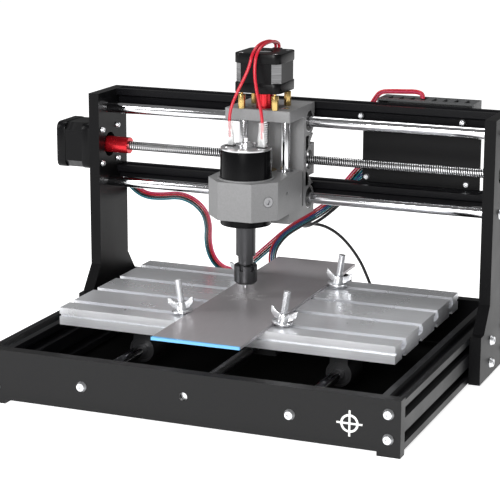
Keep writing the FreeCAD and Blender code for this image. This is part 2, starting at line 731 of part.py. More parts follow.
# ---------------------------------------------------------------- vertical slide
SLIDE_TOP = D.slide_low + D.slide_h


# the block's front corner facets: their width in X and Y and the turn of their inward normal
FACET_X = D.slide_w / 2 - D.slide_nose
FACET_Y = D.slide_side - D.slide_front
FACET_TURN = math.degrees(math.atan2(FACET_Y.value, FACET_X.value))
FACET_SHARE = 0.64
SINK = 2.4
NUT_FLANGE = 3.6


def facet_rod(d, depth, length):
    """A cylinder square to the right-hand facet, from a depth under it inwards."""
    obj = doc.addObject("Part::Cylinder", unique("rod"))
    bind(obj, Radius=Size.of(d) / 2, Height=Size.of(length))
    turn = FreeCAD.Rotation(Vector(0, 0, 1), FACET_TURN).multiply(FreeCAD.Rotation(Vector(1, 0, 0), -90))
    inward = turn.multVec(Vector(0, 0, 1))
    x = D.car_x + D.slide_nose + FACET_X * FACET_SHARE + inward.x * depth
    y = D.slide_front + FACET_Y * FACET_SHARE + inward.y * depth
    return put(obj, x, y, D.slide_low + D.slide_h / 2, turn.Axis, math.degrees(turn.Angle))


def slide_block():
    """Grey block on the Z rods that grips the spindle motor."""
    own = body("slide")
    face = sketch(own, "XY_Plane")
    half = D.slide_w / 2
    outline(face, [
        (D.car_x - D.slide_nose, D.slide_front), (D.car_x + D.slide_nose, D.slide_front),
        (D.car_x + half, D.slide_side), (D.car_x + half, D.slide_rear),
        (D.car_x - half, D.slide_rear), (D.car_x - half, D.slide_side),
    ])
    circle(face, D.can_d, D.car_x, D.spin_y)
    for sign in (-1, 1):
        circle(face, D.z_bearing_d, D.car_x + sign * D.z_rod_gap, D.z_axis_y)
    circle(face, NUT_BODY, D.car_x, D.z_axis_y)
    pad(own, face, D.slide_h)
    put(own, 0, 0, D.slide_low)
    seat = rod(D.hub_d, NUT_FLANGE, D.car_x, D.z_axis_y, SLIDE_TOP - NUT_FLANGE)
    peep = rod(3.2, 8, D.car_x + half - 8, D.spin_y + 14.8, D.slide_low + 19.3, "x")
    return node("spindle_clamp_block",
                cut(own, seat, peep, facet_rod(D.bolt, -1, 14), facet_rod(9.4, -1, SINK + 1)))


NUT_BODY = 10.2
slide_block()
screw_head = facet_rod(8.6, 0.2, SINK - 0.2)
node("spindle_clamp_screw", cut(join(screw_head, facet_rod(D.bolt, SINK, 3.8)), facet_rod(4, 0, 1.6)))

sleeves = []
for sign in (-1, 1):
    x = D.car_x + sign * D.z_rod_gap
    z = SLIDE_TOP - D.z_bearing_len
    sleeves.append(cut(rod(D.z_bearing_d, D.z_bearing_len, x, D.z_axis_y, z),
                       rod(D.z_rod_d + BEARING_FIT, D.z_bearing_len, x, D.z_axis_y, z)))
node("z_linear_bearings", group(*sleeves))
flange = rod(D.hub_d, NUT_FLANGE, D.car_x, D.z_axis_y, SLIDE_TOP - NUT_FLANGE)
neck = rod(NUT_BODY, 15, D.car_x, D.z_axis_y, SLIDE_TOP - 15)
nut_bore = rod(D.screw_d + NUT_FIT, 15, D.car_x, D.z_axis_y, SLIDE_TOP - 15)
node("z_lead_nut", cut(join(flange, neck), nut_bore))

# ---------------------------------------------------------------- spindle motor
CAN_TOP = D.can_low + D.can_len
AX, AY = D.car_x, D.spin_y
SHAFT_BORE = 4.1
TERMINAL_X = 14.5
TERMINAL_H = 9

node("spindle_can", cut(rod(D.can_d, D.can_len, AX, AY, D.can_low),
                        rod(D.can_d - 4, D.can_len - 3, AX, AY, D.can_low + 3),
                        rod(18, 3, AX, AY, D.can_low)))
cap = [rod(D.can_d - 4, 6, AX, AY, CAN_TOP - 6), rod(D.can_d, 1.5, AX, AY, CAN_TOP),
       rod(15, 4, AX, AY, CAN_TOP), rod(9, 5.4, AX, AY, CAN_TOP)]
for sign in (-1, 1):
    x = AX + sign * TERMINAL_X
    cap.append(box(x - 2.4, x + 2.4, AY - 0.4, AY + 0.4, CAN_TOP, CAN_TOP + TERMINAL_H))
node("spindle_end_cap", cut(join(*cap), rod(SHAFT_BORE, 14, AX, AY, CAN_TOP - 7)))

# what turns with the spindle
SHAFT_LOW = D.can_low - 6
node("spindle_rotor", join(
    rod(4, CAN_TOP + 9.5 - SHAFT_LOW, AX, AY, SHAFT_LOW),
    rod(30, 42, AX, AY, D.can_low + 10),
))
NECK = D.nut_low + D.nut_h
EXT_TOP = D.can_low - 0.8
COLLET_D = 8
COLLET_LEN = 14
extension = join(rod(D.ext_d, EXT_TOP - NECK - 8, AX, AY, NECK + 8), rod(D.neck_d, 9, AX, AY, NECK - 1))
COLLET_LOW = D.nut_low + 1
collet = cut(rod(COLLET_D, COLLET_LEN, AX, AY, COLLET_LOW), rod(D.bit_d, COLLET_LEN, AX, AY, COLLET_LOW))
node("collet_extension", group(
    cut(extension, rod(4, EXT_TOP - SHAFT_LOW, AX, AY, SHAFT_LOW), rod(COLLET_D, 12, AX, AY, NECK - 1)),
    collet,
))
nut_body = join(rod(D.nut_d, D.nut_h - 3, AX, AY, D.nut_low + 2),
                cone(D.nut_d - 4, D.nut_d, 2, AX, AY, D.nut_low),
                cone(D.nut_d, D.nut_d - 2, 1, AX, AY, NECK - 1))
NOTCHES = 6
notches = []
for k in range(NOTCHES):
    turn = 360 / NOTCHES * k
    notch = doc.addObject("Part::Box", unique("box"))
    bind(notch, Length=3.2, Width=3, Height=5)
    out = FreeCAD.Rotation(Vector(0, 0, 1), turn).multVec(Vector(-1.6, D.nut_d.value / 2 - 2, 0))
    notches.append(put(notch, AX + out.x, AY + out.y, NECK - 5, (0, 0, 1), turn))
nut_bores = [rod(D.neck_d, 1, AX, AY, NECK - 1), rod(COLLET_D, D.nut_h, AX, AY, D.nut_low)]
node("collet_nut", cut(nut_body, *nut_bores, *notches))
CONE = 5
node("engraving_bit", join(rod(D.bit_d, 24, AX, AY, D.bit_tip + CONE),
                           cone(0.4, D.bit_d, CONE, AX, AY, D.bit_tip)))

# ---------------------------------------------------------------- controller
BACK = D.up_rear
FRONT = BACK + D.ctrl_t
REAR = FRONT + D.cover_deep
HOLE_X = (D.ctrl_x0 + 4, D.ctrl_x1 - 12)
HOLE_Z = (D.upper_z + D.prof / 2, D.lower_z + D.prof + 4)
plate = box(D.ctrl_x0, D.ctrl_x1, BACK, FRONT, D.lower_z + 2, D.upper_z + 18)
node("controller_plate", cut(plate, *[rod(3, D.ctrl_t, x, BACK, z, "y") for x in HOLE_X for z in HOLE_Z]))

STAND = 4
BOARD_T = 1.6
board_face = FRONT + STAND + BOARD_T
board = [box(D.cover_x0 + 6, D.cover_x1 - 6, FRONT + STAND, board_face, D.cover_low + 4, D.cover_top - 10)]
for x in (D.cover_x0 + 10, D.cover_x1 - 10):
    for z in (D.cover_low + 8, D.cover_top - 14):
        board.append(rod(5, STAND, x, FRONT, z, "y"))
for k in range(3):
    x = D.cover_x0 + 14 + 22 * k
    board.append(box(x, x + 14, board_face, board_face + 10, D.cover_low + 48, D.cover_low + 62))
for k in range(4):
    x = D.cover_x0 + 12 + 18 * k
    board.append(box(x, x + 12, board_face, board_face + 7, D.cover_low + 4, D.cover_low + 12))
node("controller_board", join(*board))

wall = D.cover_wall
vents = []
for k in range(8):
    x = D.cover_x0 + 8 + 10 * k
    vents.append(box(x, x + 4, FRONT + 5, REAR - 5, D.cover_top - wall, D.cover_top))
node("controller_cover", cut(
    box(D.cover_x0, D.cover_x1, FRONT, REAR, D.cover_low, D.cover_top),
    box(D.cover_x0 + wall, D.cover_x1 - wall, FRONT, REAR - wall, D.cover_low, D.cover_top - wall),
    *vents))


# ---------------------------------------------------------------- cables
def cord(name, points, d):
    """A round cable: straight runs joined by arcs that touch them, as large as the runs allow."""
    d = Size.of(d).value
    spots = [Vector(*p) for p in points]
    edges = []
    start = spots[0]
    tightest = None
    for a, b, c in zip(spots, spots[1:], spots[2:]):
        into = (b - a).normalize()
        onto = (c - b).normalize()
        turn = into.getAngle(onto)
        reach = 0.45 * min(b.distanceToPoint(a), c.distanceToPoint(b))
        radius = reach / math.tan(turn / 2)
        first = b - into * reach
        last = b + onto * reach
        inward = (onto - into).normalize()
        middle = b + inward * (radius / math.cos(turn / 2) - radius)
        edges.append(Part.LineSegment(start, first).toShape())
        edges.append(Part.Arc(first, middle, last).toShape())
        start = last
        tightest = radius if tightest is None else min(tightest, radius)
        if radius < 5 * d:
            print("  %s radius %.1f mm (%.1f diameters) at %s" % (name, radius, radius / d, tuple(b)))
    edges.append(Part.LineSegment(start, spots[-1]).toShape())
    path = Part.Wire(edges)
    section = Part.Wire(Part.makeCircle(d / 2, spots[0], spots[1] - spots[0]))
    tube = path.makePipeShell([section], True, True)
    whole = math.pi * d * d / 4 * path.Length
    print("  %s: length %.0f mm, tightest %.1f mm, volume %.1f of %.1f mm3" % (
        name, path.Length, tightest, tube.Volume, whole))
    obj = doc.addObject("Part::Feature", unique(name))
    obj.Shape = tube
    return obj


# motor leads hang behind the frame and enter the left side of the controller cover
node("x_motor_cable", cord("x_motor_cable", [
    (-215, 107, 176.5), (-215, 118, 176), (-213, 130, 171), (-207, 137, 161), (-198, 137, 148),
    (-188, 131, 136), (-177, 126.5, 127), (-164, 124.5, 121), (-148, 125.5, 121), (-131, 128, 123.5),
    (-119, 134, 118), (-113, 147, 105), (-117, 165, 87), (-125, 181, 70), (-126, 189, 54),
    (-120, 192, 42), (-108, 193.5, 36), (-94, 192.5, 39.5), (-79, 188, 52), (-60, 182, 69),
    (-40, 175, 87), (-14, 161, 105), (8, 149, 120), (24, 140, 136), (36, 134, 150),
    (46, 131, 161.5), (54.5, 130, 167), (66, 130, 168),
], D.motor_cable))
node("y_motor_cable", cord("y_motor_cable", [
    (-25, 184.5, 26.5), (-36, 185, 26.5), (-47, 186.5, 29), (-55, 187.5, 36.5), (-59, 187, 47),
    (-57.5, 185, 58), (-51.5, 182, 67.5), (-43, 179, 76), (-33, 174.5, 84.5), (-14, 164, 96.5),
    (8, 152, 111.5), (24, 143.5, 127), (36, 137.5, 141), (46, 134, 153), (55, 132, 160),
    (66, 132, 161),
], D.motor_cable))

# data lead: out of the cover beside them, down to the floor and into a coil behind the frame
LEAD_Z = 1.8
node("usb_lead", cord("usb_lead", [
    (66, 138, 153), (56, 138, 152.5), (46, 140, 147), (35, 144, 136.5), (19, 152, 121), (2, 160.5, 106.5),
    (-13, 169, 96.5), (-25, 181, 91), (-32, 195, 89.5), (-29, 209, 88), (-19, 219, 85),
    (-9, 228, 77), (-0.5, 235.5, 66), (7, 240.5, 54), (13, 243, 43), (18, 244.5, 31),
    (23, 245, 19), (31, 245.2, 8.5), (43, 244.5, 3), (56, 240.5, LEAD_Z), (69, 234, LEAD_Z),
    (82, 230, LEAD_Z),
], D.lead_d))
coil_outer = rod(D.coil_mid + D.coil_wide, D.coil_high, D.coil_x, D.coil_y, 0)
coil_inner = rod(D.coil_mid - D.coil_wide, D.coil_high, D.coil_x, D.coil_y, 0)
node("usb_coil", cut(coil_outer, coil_inner))
grip_x = D.coil_x + 4
grip_y = D.coil_y + D.coil_mid / 2 + D.coil_wide / 2 - 0.3
node("usb_connector", join(
    box(grip_x - 26, grip_x, grip_y, grip_y + 13, 0, 8),
    box(grip_x - 44, grip_x - 26, grip_y + 0.5, grip_y + 12.5, 1.7, 6.3),
))

# Z motor and spindle cable: down behind the carriage, along the upper profile and into the cover
SOFT_GAP = 0.3
TIE_Y = 76.5
TIE_LEN = 4.5
TIE_TOP = 274.5
RUN_Z = 270.7
tie = cut(box(-18, -9.2, TIE_Y, TIE_Y + TIE_LEN, TIE_TOP - 7.5, TIE_TOP),
          rod(D.motor_cable, TIE_LEN, D.car_x, TIE_Y, RUN_Z, "y"))
node("carriage_cable", group(cord("carriage_cable", [
    (-13.6, 75, RUN_Z), (-13.6, 86, RUN_Z), (-16, 99, 268.5), (-22, 110, 261), (-30, 118, 250),
    (-38, 123.5, 237), (-41.5, 127.5, 223.5), (-37, 130, 211.5), (-26, 130.5, 206), (-12, 130, 205),
    (6, 129.5, 206), (24, 129, 208), (38, 128.5, 210), (50, 128, 214), (57, 128, 219.5),
    (60.7, 129, 227), (65, 130.5, 233.3), (76, 131.8, 234), (88, 132, 234.4), (97, 131.8, 235),
    (102.2, 131.5, 234), (104, 131.5, 232), (104, 131.5, D.cover_top.value + SOFT_GAP),
], D.motor_cable), tie))

# spindle leads with a clear sleeve on each terminal, tied to that cable behind the motor
spindle_runs = []
for name, points in (
        ("left", [
            (-28.1, 7.6, 206), (-28.4, 7.6, 213.5), (-29.3, 8, 221), (-28.6, 10, 231), (-25, 14.5, 243),
            (-19.5, 18.5, 256), (-16, 21, 266), (-15, 23, 274), (-14.5, 31, 280), (-14, 42, 282.5),
            (-14.2, 54, 282.8), (-14.8, 66, 281.8), (-15.2, 75, 279.6), (-15.2, 79, 277.6),
            (-15.2, 79, TIE_TOP + SOFT_GAP),
        ]),
        ("right", [
            (0.9, 7.6, 206), (1.1, 7.6, 213.5), (0.8, 8.5, 221), (-2, 11.5, 231), (-7, 16, 243),
            (-11, 20, 256), (-11.8, 22, 266), (-11.4, 24.2, 274.5), (-11, 32, 280), (-10.4, 42, 282.3),
            (-10.6, 54, 282.5), (-11.2, 66, 281.6), (-11.9, 75, 279.6), (-11.9, 79, 277.6),
            (-11.9, 79, TIE_TOP + SOFT_GAP),
        ])):
    spindle_runs.append(cord("spindle_lead_" + name, points, D.spin_wire))
boots = []
for sign in (-1, 1):
    x = AX + sign * TERMINAL_X
    shell = box(x - 3.4, x + 3.4, AY - 2.2, AY + 2.2, CAN_TOP + 2.2, CAN_TOP + 23)
    room = box(x - 2.7, x + 2.7, AY - 1.6, AY + 1.6, CAN_TOP + 2.2, CAN_TOP + 23)
    boots.append(cut(shell, room))
node("spindle_leads", group(*spindle_runs, *boots))


# ---------------------------------------------------------------- write everything
doc.recompute()
bad = [o.Label for o in doc.Objects if "Invalid" in o.State or "Error" in o.State]
if bad:
    raise RuntimeError("failed objects: %s" % bad)
os.makedirs("parts", exist_ok=True)
for old in os.listdir("parts"):
    os.remove(os.path.join("parts", old))
for name, obj in nodes:
    shape = obj.Shape
    if shape.isNull() or not shape.isValid():
        raise RuntimeError("bad shape: " + name)
    shape.exportStep("parts/%s.step" % name)
    b = shape.BoundBox
    print("%-22s %2d solids  x %7.2f %7.2f  y %7.2f %7.2f  z %7.2f %7.2f" % (
        name, len(shape.Solids), b.XMin, b.XMax, b.YMin, b.YMax, b.ZMin, b.ZMax))
print(len(nodes), "nodes")
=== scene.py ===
import json
import math

import bmesh
import bpy
from bpy.props import FloatProperty, FloatVectorProperty, IntProperty, PointerProperty
from mathutils import Euler, Matrix, Vector


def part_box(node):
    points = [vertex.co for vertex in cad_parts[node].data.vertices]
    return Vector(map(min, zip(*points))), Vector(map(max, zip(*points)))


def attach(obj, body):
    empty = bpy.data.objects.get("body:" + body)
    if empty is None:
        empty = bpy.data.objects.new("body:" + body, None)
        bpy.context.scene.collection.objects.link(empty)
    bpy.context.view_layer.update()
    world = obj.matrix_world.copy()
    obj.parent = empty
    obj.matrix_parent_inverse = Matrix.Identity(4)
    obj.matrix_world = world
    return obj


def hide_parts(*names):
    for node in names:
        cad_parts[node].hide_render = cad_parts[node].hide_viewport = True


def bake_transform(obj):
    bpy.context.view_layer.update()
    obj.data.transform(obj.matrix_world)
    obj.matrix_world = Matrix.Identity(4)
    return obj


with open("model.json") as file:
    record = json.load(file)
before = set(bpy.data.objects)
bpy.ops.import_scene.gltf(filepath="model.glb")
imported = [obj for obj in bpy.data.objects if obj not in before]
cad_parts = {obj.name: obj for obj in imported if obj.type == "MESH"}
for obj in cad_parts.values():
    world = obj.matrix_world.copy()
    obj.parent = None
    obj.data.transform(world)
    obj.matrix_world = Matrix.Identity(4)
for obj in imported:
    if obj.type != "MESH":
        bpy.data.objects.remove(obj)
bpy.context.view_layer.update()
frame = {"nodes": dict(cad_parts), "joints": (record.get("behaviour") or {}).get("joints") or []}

bl_info = {
    "name": "Desktop CNC Router",
    "version": (1, 0, 0),
    "blender": (4, 5, 0),
    "location": "View3D > Sidebar > Router",
    "description": "Finishes a desktop CNC router: metal, moulded parts, threads, motors and cables",
    "category": "Object",
}

NODES = frame["nodes"]
MM = 0.001
X, Y, Z = Vector((1, 0, 0)), Vector((0, 1, 0)), Vector((0, 0, 1))
TERMINAL_OFF = 14.5 * MM  # from the spindle's axis to each terminal


def middle(node):
    low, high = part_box(node)
    return (low + high) / 2


# ---------------------------------------------------------------- sizes and colours
class RouterThreads(bpy.types.PropertyGroup):
    """Threads of the lead screws and of the clamp bolts."""
    radius: FloatProperty(name="Radius", description="Outer radius of the lead screws",
                          default=4 * MM, unit="LENGTH")
    depth: FloatProperty(name="Thread depth", description="Depth of the lead screw's thread",
                         default=0.9 * MM, unit="LENGTH")
    pitch: FloatProperty(name="Pitch", description="From one crest of the lead screw to the next",
                         default=2 * MM, unit="LENGTH")
    starts: IntProperty(name="Starts", description="Threads that run side by side", default=2)
    bolt_pitch: FloatProperty(name="Bolt pitch", description="Pitch of the clamp bolts",
                              default=1 * MM, unit="LENGTH")
    bolt_depth: FloatProperty(name="Bolt thread depth", description="Depth of the clamp bolts' thread",
                              default=0.55 * MM, unit="LENGTH")


class RouterMotors(bpy.types.PropertyGroup):
    """The stepper motors and the spindle motor."""
    width: FloatProperty(name="Width", description="Across the flats of a stepper motor",
                         default=42.3 * MM, unit="LENGTH")
    length: FloatProperty(name="Length", description="From mounting face to rear face",
                          default=34 * MM, unit="LENGTH")
    bell: FloatProperty(name="Bell", description="Height of each end bell", default=8.6 * MM, unit="LENGTH")
    corner: FloatProperty(name="Corner", description="Cut of the bells' corners",
                          default=5 * MM, unit="LENGTH")
    stack_corner: FloatProperty(name="Stack corner", description="Cut of the lamination stack's corners",
                                default=6.6 * MM, unit="LENGTH")
    holes: FloatProperty(name="Holes", description="Spacing of the corner screws",
                         default=31 * MM, unit="LENGTH")


class RouterCables(bpy.types.PropertyGroup):
    """Cables and leads."""
    motor: FloatProperty(name="Motor cable", description="Across a bundle of four wires",
                         default=5 * MM, unit="LENGTH")
    spindle: FloatProperty(name="Spindle lead", description="Across one spindle lead",
                           default=2.8 * MM, unit="LENGTH")
    data: FloatProperty(name="Data lead", description="Across the data lead", default=3 * MM, unit="LENGTH")


class RouterCamera(bpy.types.PropertyGroup):
    """Where the camera stands."""
    azimuth: FloatProperty(name="Azimuth", description="Turn of the view to the right of the front, in degrees",
                           default=22.22)
    elevation: FloatProperty(name="Elevation", description="Height of the view above the horizon, in degrees",
                             default=13.66)
    roll: FloatProperty(name="Roll", description="Tilt of the picture, in degrees", default=0.19)
    distance: FloatProperty(name="Distance", description="From the aim to the camera",
                            default=1500 * MM, unit="LENGTH")
    lens: FloatProperty(name="Lens", description="Focal length of the lens, in millimetres", default=131.64)
    aim: FloatVectorProperty(name="Aim", description="Point in the middle of the view",
                             default=(17.4 * MM, -58.7 * MM, 125.9 * MM), subtype="TRANSLATION")


class RouterColours(bpy.types.PropertyGroup):
    """Main colours of the machine."""
    panel: FloatVectorProperty(name="Panels", description="Black side plates and end panels",
                               default=(0.011, 0.011, 0.0115), subtype="COLOR")
    plastic: FloatVectorProperty(name="Moulded grey", description="Carriage and slide block",
                                 default=(0.22, 0.22, 0.223), subtype="COLOR")
    coupling: FloatVectorProperty(name="Couplings", description="Anodised couplings",
                                  default=(0.62, 0.012, 0.022), subtype="COLOR")
    film: FloatVectorProperty(name="Edge film", description="Protective film at the sheet's front edge",
                              default=(0.16, 0.48, 0.85), subtype="COLOR")


SETTINGS = {
    "router_threads": RouterThreads,
    "router_motors": RouterMotors,
    "router_cables": RouterCables,
    "router_camera": RouterCamera,
    "router_colours": RouterColours,
}


def settings(name):
    return getattr(bpy.context.scene, "router_" + name)


# ---------------------------------------------------------------- shared shader effects
def effect(name, inputs):
    """A shader node group that gives one value: its tree, inputs, output, object coordinates and a noise."""
    tree = bpy.data.node_groups.new(name, "ShaderNodeTree")
    for label, kind, value in inputs:
        tree.interface.new_socket(label, in_out="INPUT", socket_type=kind).default_value = value
    tree.interface.new_socket("Value", in_out="OUTPUT", socket_type="NodeSocketFloat")
    given, result = tree.nodes.new("NodeGroupInput"), tree.nodes.new("NodeGroupOutput")
    place = tree.nodes.new("ShaderNodeTexCoord").outputs["Object"]
    return tree, given.outputs, result.inputs["Value"], place, tree.nodes.new("ShaderNodeTexNoise")


def link_all(tree, *pairs):
    for output, entry in pairs:
        tree.links.new(output, entry)


def grain_effect():
    """Fine even grain, as on moulded plastic and satin paint."""
    tree, given, result, place, noise = effect(
        "Grain", [("Scale", "NodeSocketFloat", 900.0), ("Roughness", "NodeSocketFloat", 0.6)])
    noise.inputs["Detail"].default_value = 3
    link_all(tree, (place, noise.inputs["Vector"]), (given["Scale"], noise.inputs["Scale"]),
             (given["Roughness"], noise.inputs["Roughness"]), (noise.outputs["Fac"], result))
    return tree


def brushed_effect():
    """Long fine lines, as on drawn, brushed or turned metal."""
    tree, given, result, place, noise = effect(
        "Brushed", [("Stretch", "NodeSocketVector", (40.0, 1500.0, 1500.0))])
    noise.inputs["Scale"].default_value = 1
    noise.inputs["Detail"].default_value = 2
    scale = tree.nodes.new("ShaderNodeVectorMath")
    scale.operation = "MULTIPLY"
    link_all(tree, (place, scale.inputs[0]), (given["Stretch"], scale.inputs[1]),
             (scale.outputs["Vector"], noise.inputs["Vector"]), (noise.outputs["Fac"], result))
    return tree


def handling_effect():
    """Broad soft patches, as finger marks and wear leave on a surface."""
    tree, given, result, place, noise = effect(
        "Handling", [("Scale", "NodeSocketFloat", 18.0), ("Low", "NodeSocketFloat", 0.3),
                     ("High", "NodeSocketFloat", 0.5)])
    noise.inputs["Detail"].default_value = 4
    spread = tree.nodes.new("ShaderNodeMapRange")
    spread.inputs["From Min"].default_value = 0.3
    spread.inputs["From Max"].default_value = 0.7
    link_all(tree, (place, noise.inputs["Vector"]), (given["Scale"], noise.inputs["Scale"]),
             (noise.outputs["Fac"], spread.inputs["Value"]), (given["Low"], spread.inputs["To Min"]),
             (given["High"], spread.inputs["To Max"]), (spread.outputs["Result"], result))
    return tree


EFFECTS = {}
FINISHES = {}


class Finish:
    """A material on a Principled shader, with the shared effects at its own scales."""

    def __init__(self, name, colour, rough, metal=0.0, coat=0.0, spread=0.12, grain=900.0, bump=0.04,
                 lines=None, patches=18.0, rough_spread=0.06, shine=0.5):
        self.material = bpy.data.materials.new(name)
        self.material.use_nodes = True
        self.nodes = self.material.node_tree.nodes
        self.links = self.material.node_tree.links
        self.shader = self.nodes["Principled BSDF"]
        self.shader.inputs["Metallic"].default_value = metal
        self.shader.inputs["Coat Weight"].default_value = coat
        self.shader.inputs["Coat Roughness"].default_value = 0.12
        self.shader.inputs["Specular IOR Level"].default_value = shine
        self.material.diffuse_color = (*colour, 1)
        self.value = self.group("Brushed", Stretch=lines) if lines else self.group("Grain", Scale=grain)
        darker, lighter = ([part * (1 + way * spread) for part in colour] for way in (-1, 1))
        self.colour = self.mix(self.value, darker, lighter)
        self.link(self.colour, "Base Color")
        self.rough = self.group("Handling", Scale=patches, Low=rough - rough_spread, High=rough + rough_spread)
        self.link(self.rough, "Roughness")
        self.height(self.value, bump)
        FINISHES[name] = self.material

    def link(self, output, socket):
        self.links.new(output, self.shader.inputs[socket])

    def node(self, kind, **settings_of):
        made = self.nodes.new("ShaderNode" + kind)
        for name, value in settings_of.items():
            setattr(made, name, value)
        return made

    def group(self, effect_name, **values):
        made = self.node("Group", node_tree=EFFECTS[effect_name])
        for name, value in values.items():
            made.inputs[name].default_value = value
        return made.outputs[0]

    def mix(self, factor, first, second):
        made = self.node("Mix", data_type="RGBA")
        self.links.new(factor, made.inputs[0])
        for socket, value in ((made.inputs[6], first), (made.inputs[7], second)):
            if isinstance(value, bpy.types.NodeSocket):
                self.links.new(value, socket)
            else:
                socket.default_value = (*value[:3], 1)
        return made.outputs[2]

    def maths(self, operation, first, second=None):
        made = self.node("Math", operation=operation)
        for socket, value in zip(made.inputs, (first, second)):
            if isinstance(value, bpy.types.NodeSocket):
                self.links.new(value, socket)
            elif value is not None:
                socket.default_value = value
        return made.outputs[0]

    def height(self, value, strength):
        made = self.node("Bump")
        made.inputs["Strength"].default_value = strength
        made.inputs["Distance"].default_value = 0.2 * MM
        self.links.new(value, made.inputs["Height"])
        self.link(made.outputs["Normal"], "Normal")

    def distance(self, first, second):
        """How far away something is, from how far it is along two axes."""
        squares = [self.maths("MULTIPLY", part, part) for part in (first, second)]
        return self.maths("SQRT", self.maths("ADD", *squares))

    def place(self):
        """Object coordinates, split into X, Y and Z."""
        coords = self.node("TexCoord")
        parts = self.node("SeparateXYZ")
        self.links.new(coords.outputs["Object"], parts.inputs[0])
        return parts.outputs

    def smooth(self, value, low, high):
        """0 where the value is under low, 1 over high."""
        made = self.node("MapRange", interpolation_type="SMOOTHSTEP")
        self.links.new(value, made.inputs["Value"])
        made.inputs["From Min"].default_value = low
        made.inputs["From Max"].default_value = high
        return made.outputs["Result"]


def panel_with_mark(name, mark):
    """Black panel with a plain target mark: a ring and two crossed strokes, in white paint."""
    finish = Finish(name, settings("colours").panel, 0.40, grain=500.0, bump=0.05, shine=0.2)
    ring_radius, ring_half = 6.5 * MM, 0.9 * MM
    stroke_reach, stroke_half = 10.5 * MM, 0.8 * MM
    part = finish.place()
    across = finish.maths("SUBTRACT", part["X"], mark.x)
    up = finish.maths("SUBTRACT", part["Z"], mark.z)
    far = finish.distance(across, up)
    from_ring = finish.maths("ABSOLUTE", finish.maths("SUBTRACT", far, ring_radius))
    ring = finish.maths("LESS_THAN", from_ring, ring_half)
    inside = finish.maths("LESS_THAN", far, stroke_reach)
    strokes = [finish.maths("LESS_THAN", finish.maths("ABSOLUTE", this), stroke_half) for this in (across, up)]
    cross = finish.maths("MULTIPLY", finish.maths("MAXIMUM", *strokes), inside)
    front = finish.maths("LESS_THAN", part["Y"], mark.y + 0.05 * MM)
    paint = finish.maths("MULTIPLY", finish.maths("MAXIMUM", ring, cross), front)
    finish.link(finish.mix(paint, finish.colour, (0.82, 0.82, 0.80)), "Base Color")
    return finish


def work_sheet_finish():
    """Rolled metal sheet with fine swirl marks round the tool, painted lighter in radial rays as a sheen, and
    blue film on its front edge.
    """
    finish = Finish("work_sheet", (0.44, 0.415, 0.43), 0.34, metal=0.36, lines=(1400.0, 60.0, 900.0),
                    bump=0.05, spread=0.10, patches=9.0, rough_spread=0.07)
    ray_count = 7.0
    sheet_turn, film_width = 0.0148, 3.1 * MM
    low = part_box("work_sheet")[0]
    tool = middle("engraving_bit")
    part = finish.place()
    across = finish.maths("SUBTRACT", part["X"], tool.x)
    along = finish.maths("SUBTRACT", part["Y"], tool.y)
    far = finish.distance(across, along)
    turn = finish.maths("ARCTAN2", along, across)
    # Painted sheen: bright radial rays on the swirl marks near the tool, in a lighter colour.
    sheen_rays = finish.maths("SINE", finish.maths("ADD", finish.maths("MULTIPLY", turn, ray_count),
                                             finish.maths("MULTIPLY", finish.value, ray_count)))
    near = finish.maths("SUBTRACT", 1.0, finish.smooth(far, 2 * MM, 24 * MM))
    bright = finish.maths("MULTIPLY", finish.smooth(sheen_rays, 0.1, 1.0), near)
    swirls_with_painted_sheen = finish.mix(bright, finish.colour, (0.86, 0.84, 0.84))
    edge = finish.maths("ADD", part["Y"], finish.maths("MULTIPLY", part["X"], sheet_turn))
    film = finish.maths("LESS_THAN", edge, low.y + film_width)
    finish.link(finish.mix(film, swirls_with_painted_sheen, settings("colours").film), "Base Color")
    metal = finish.maths("MULTIPLY", finish.maths("SUBTRACT", 1.0, film), 0.5)
    finish.link(metal, "Metallic")
    finish.link(finish.maths("SUBTRACT", finish.rough, finish.maths("MULTIPLY", bright, 0.1)), "Roughness")
    return finish


def clear_sleeve_finish():
    """Soft clear plastic of the terminal sleeves."""
    finish = Finish("clear_sleeve", (0.92, 0.93, 0.93), 0.12, grain=300.0, bump=0.02, spread=0.02)
    finish.shader.inputs["Alpha"].default_value = 0.22
    return finish


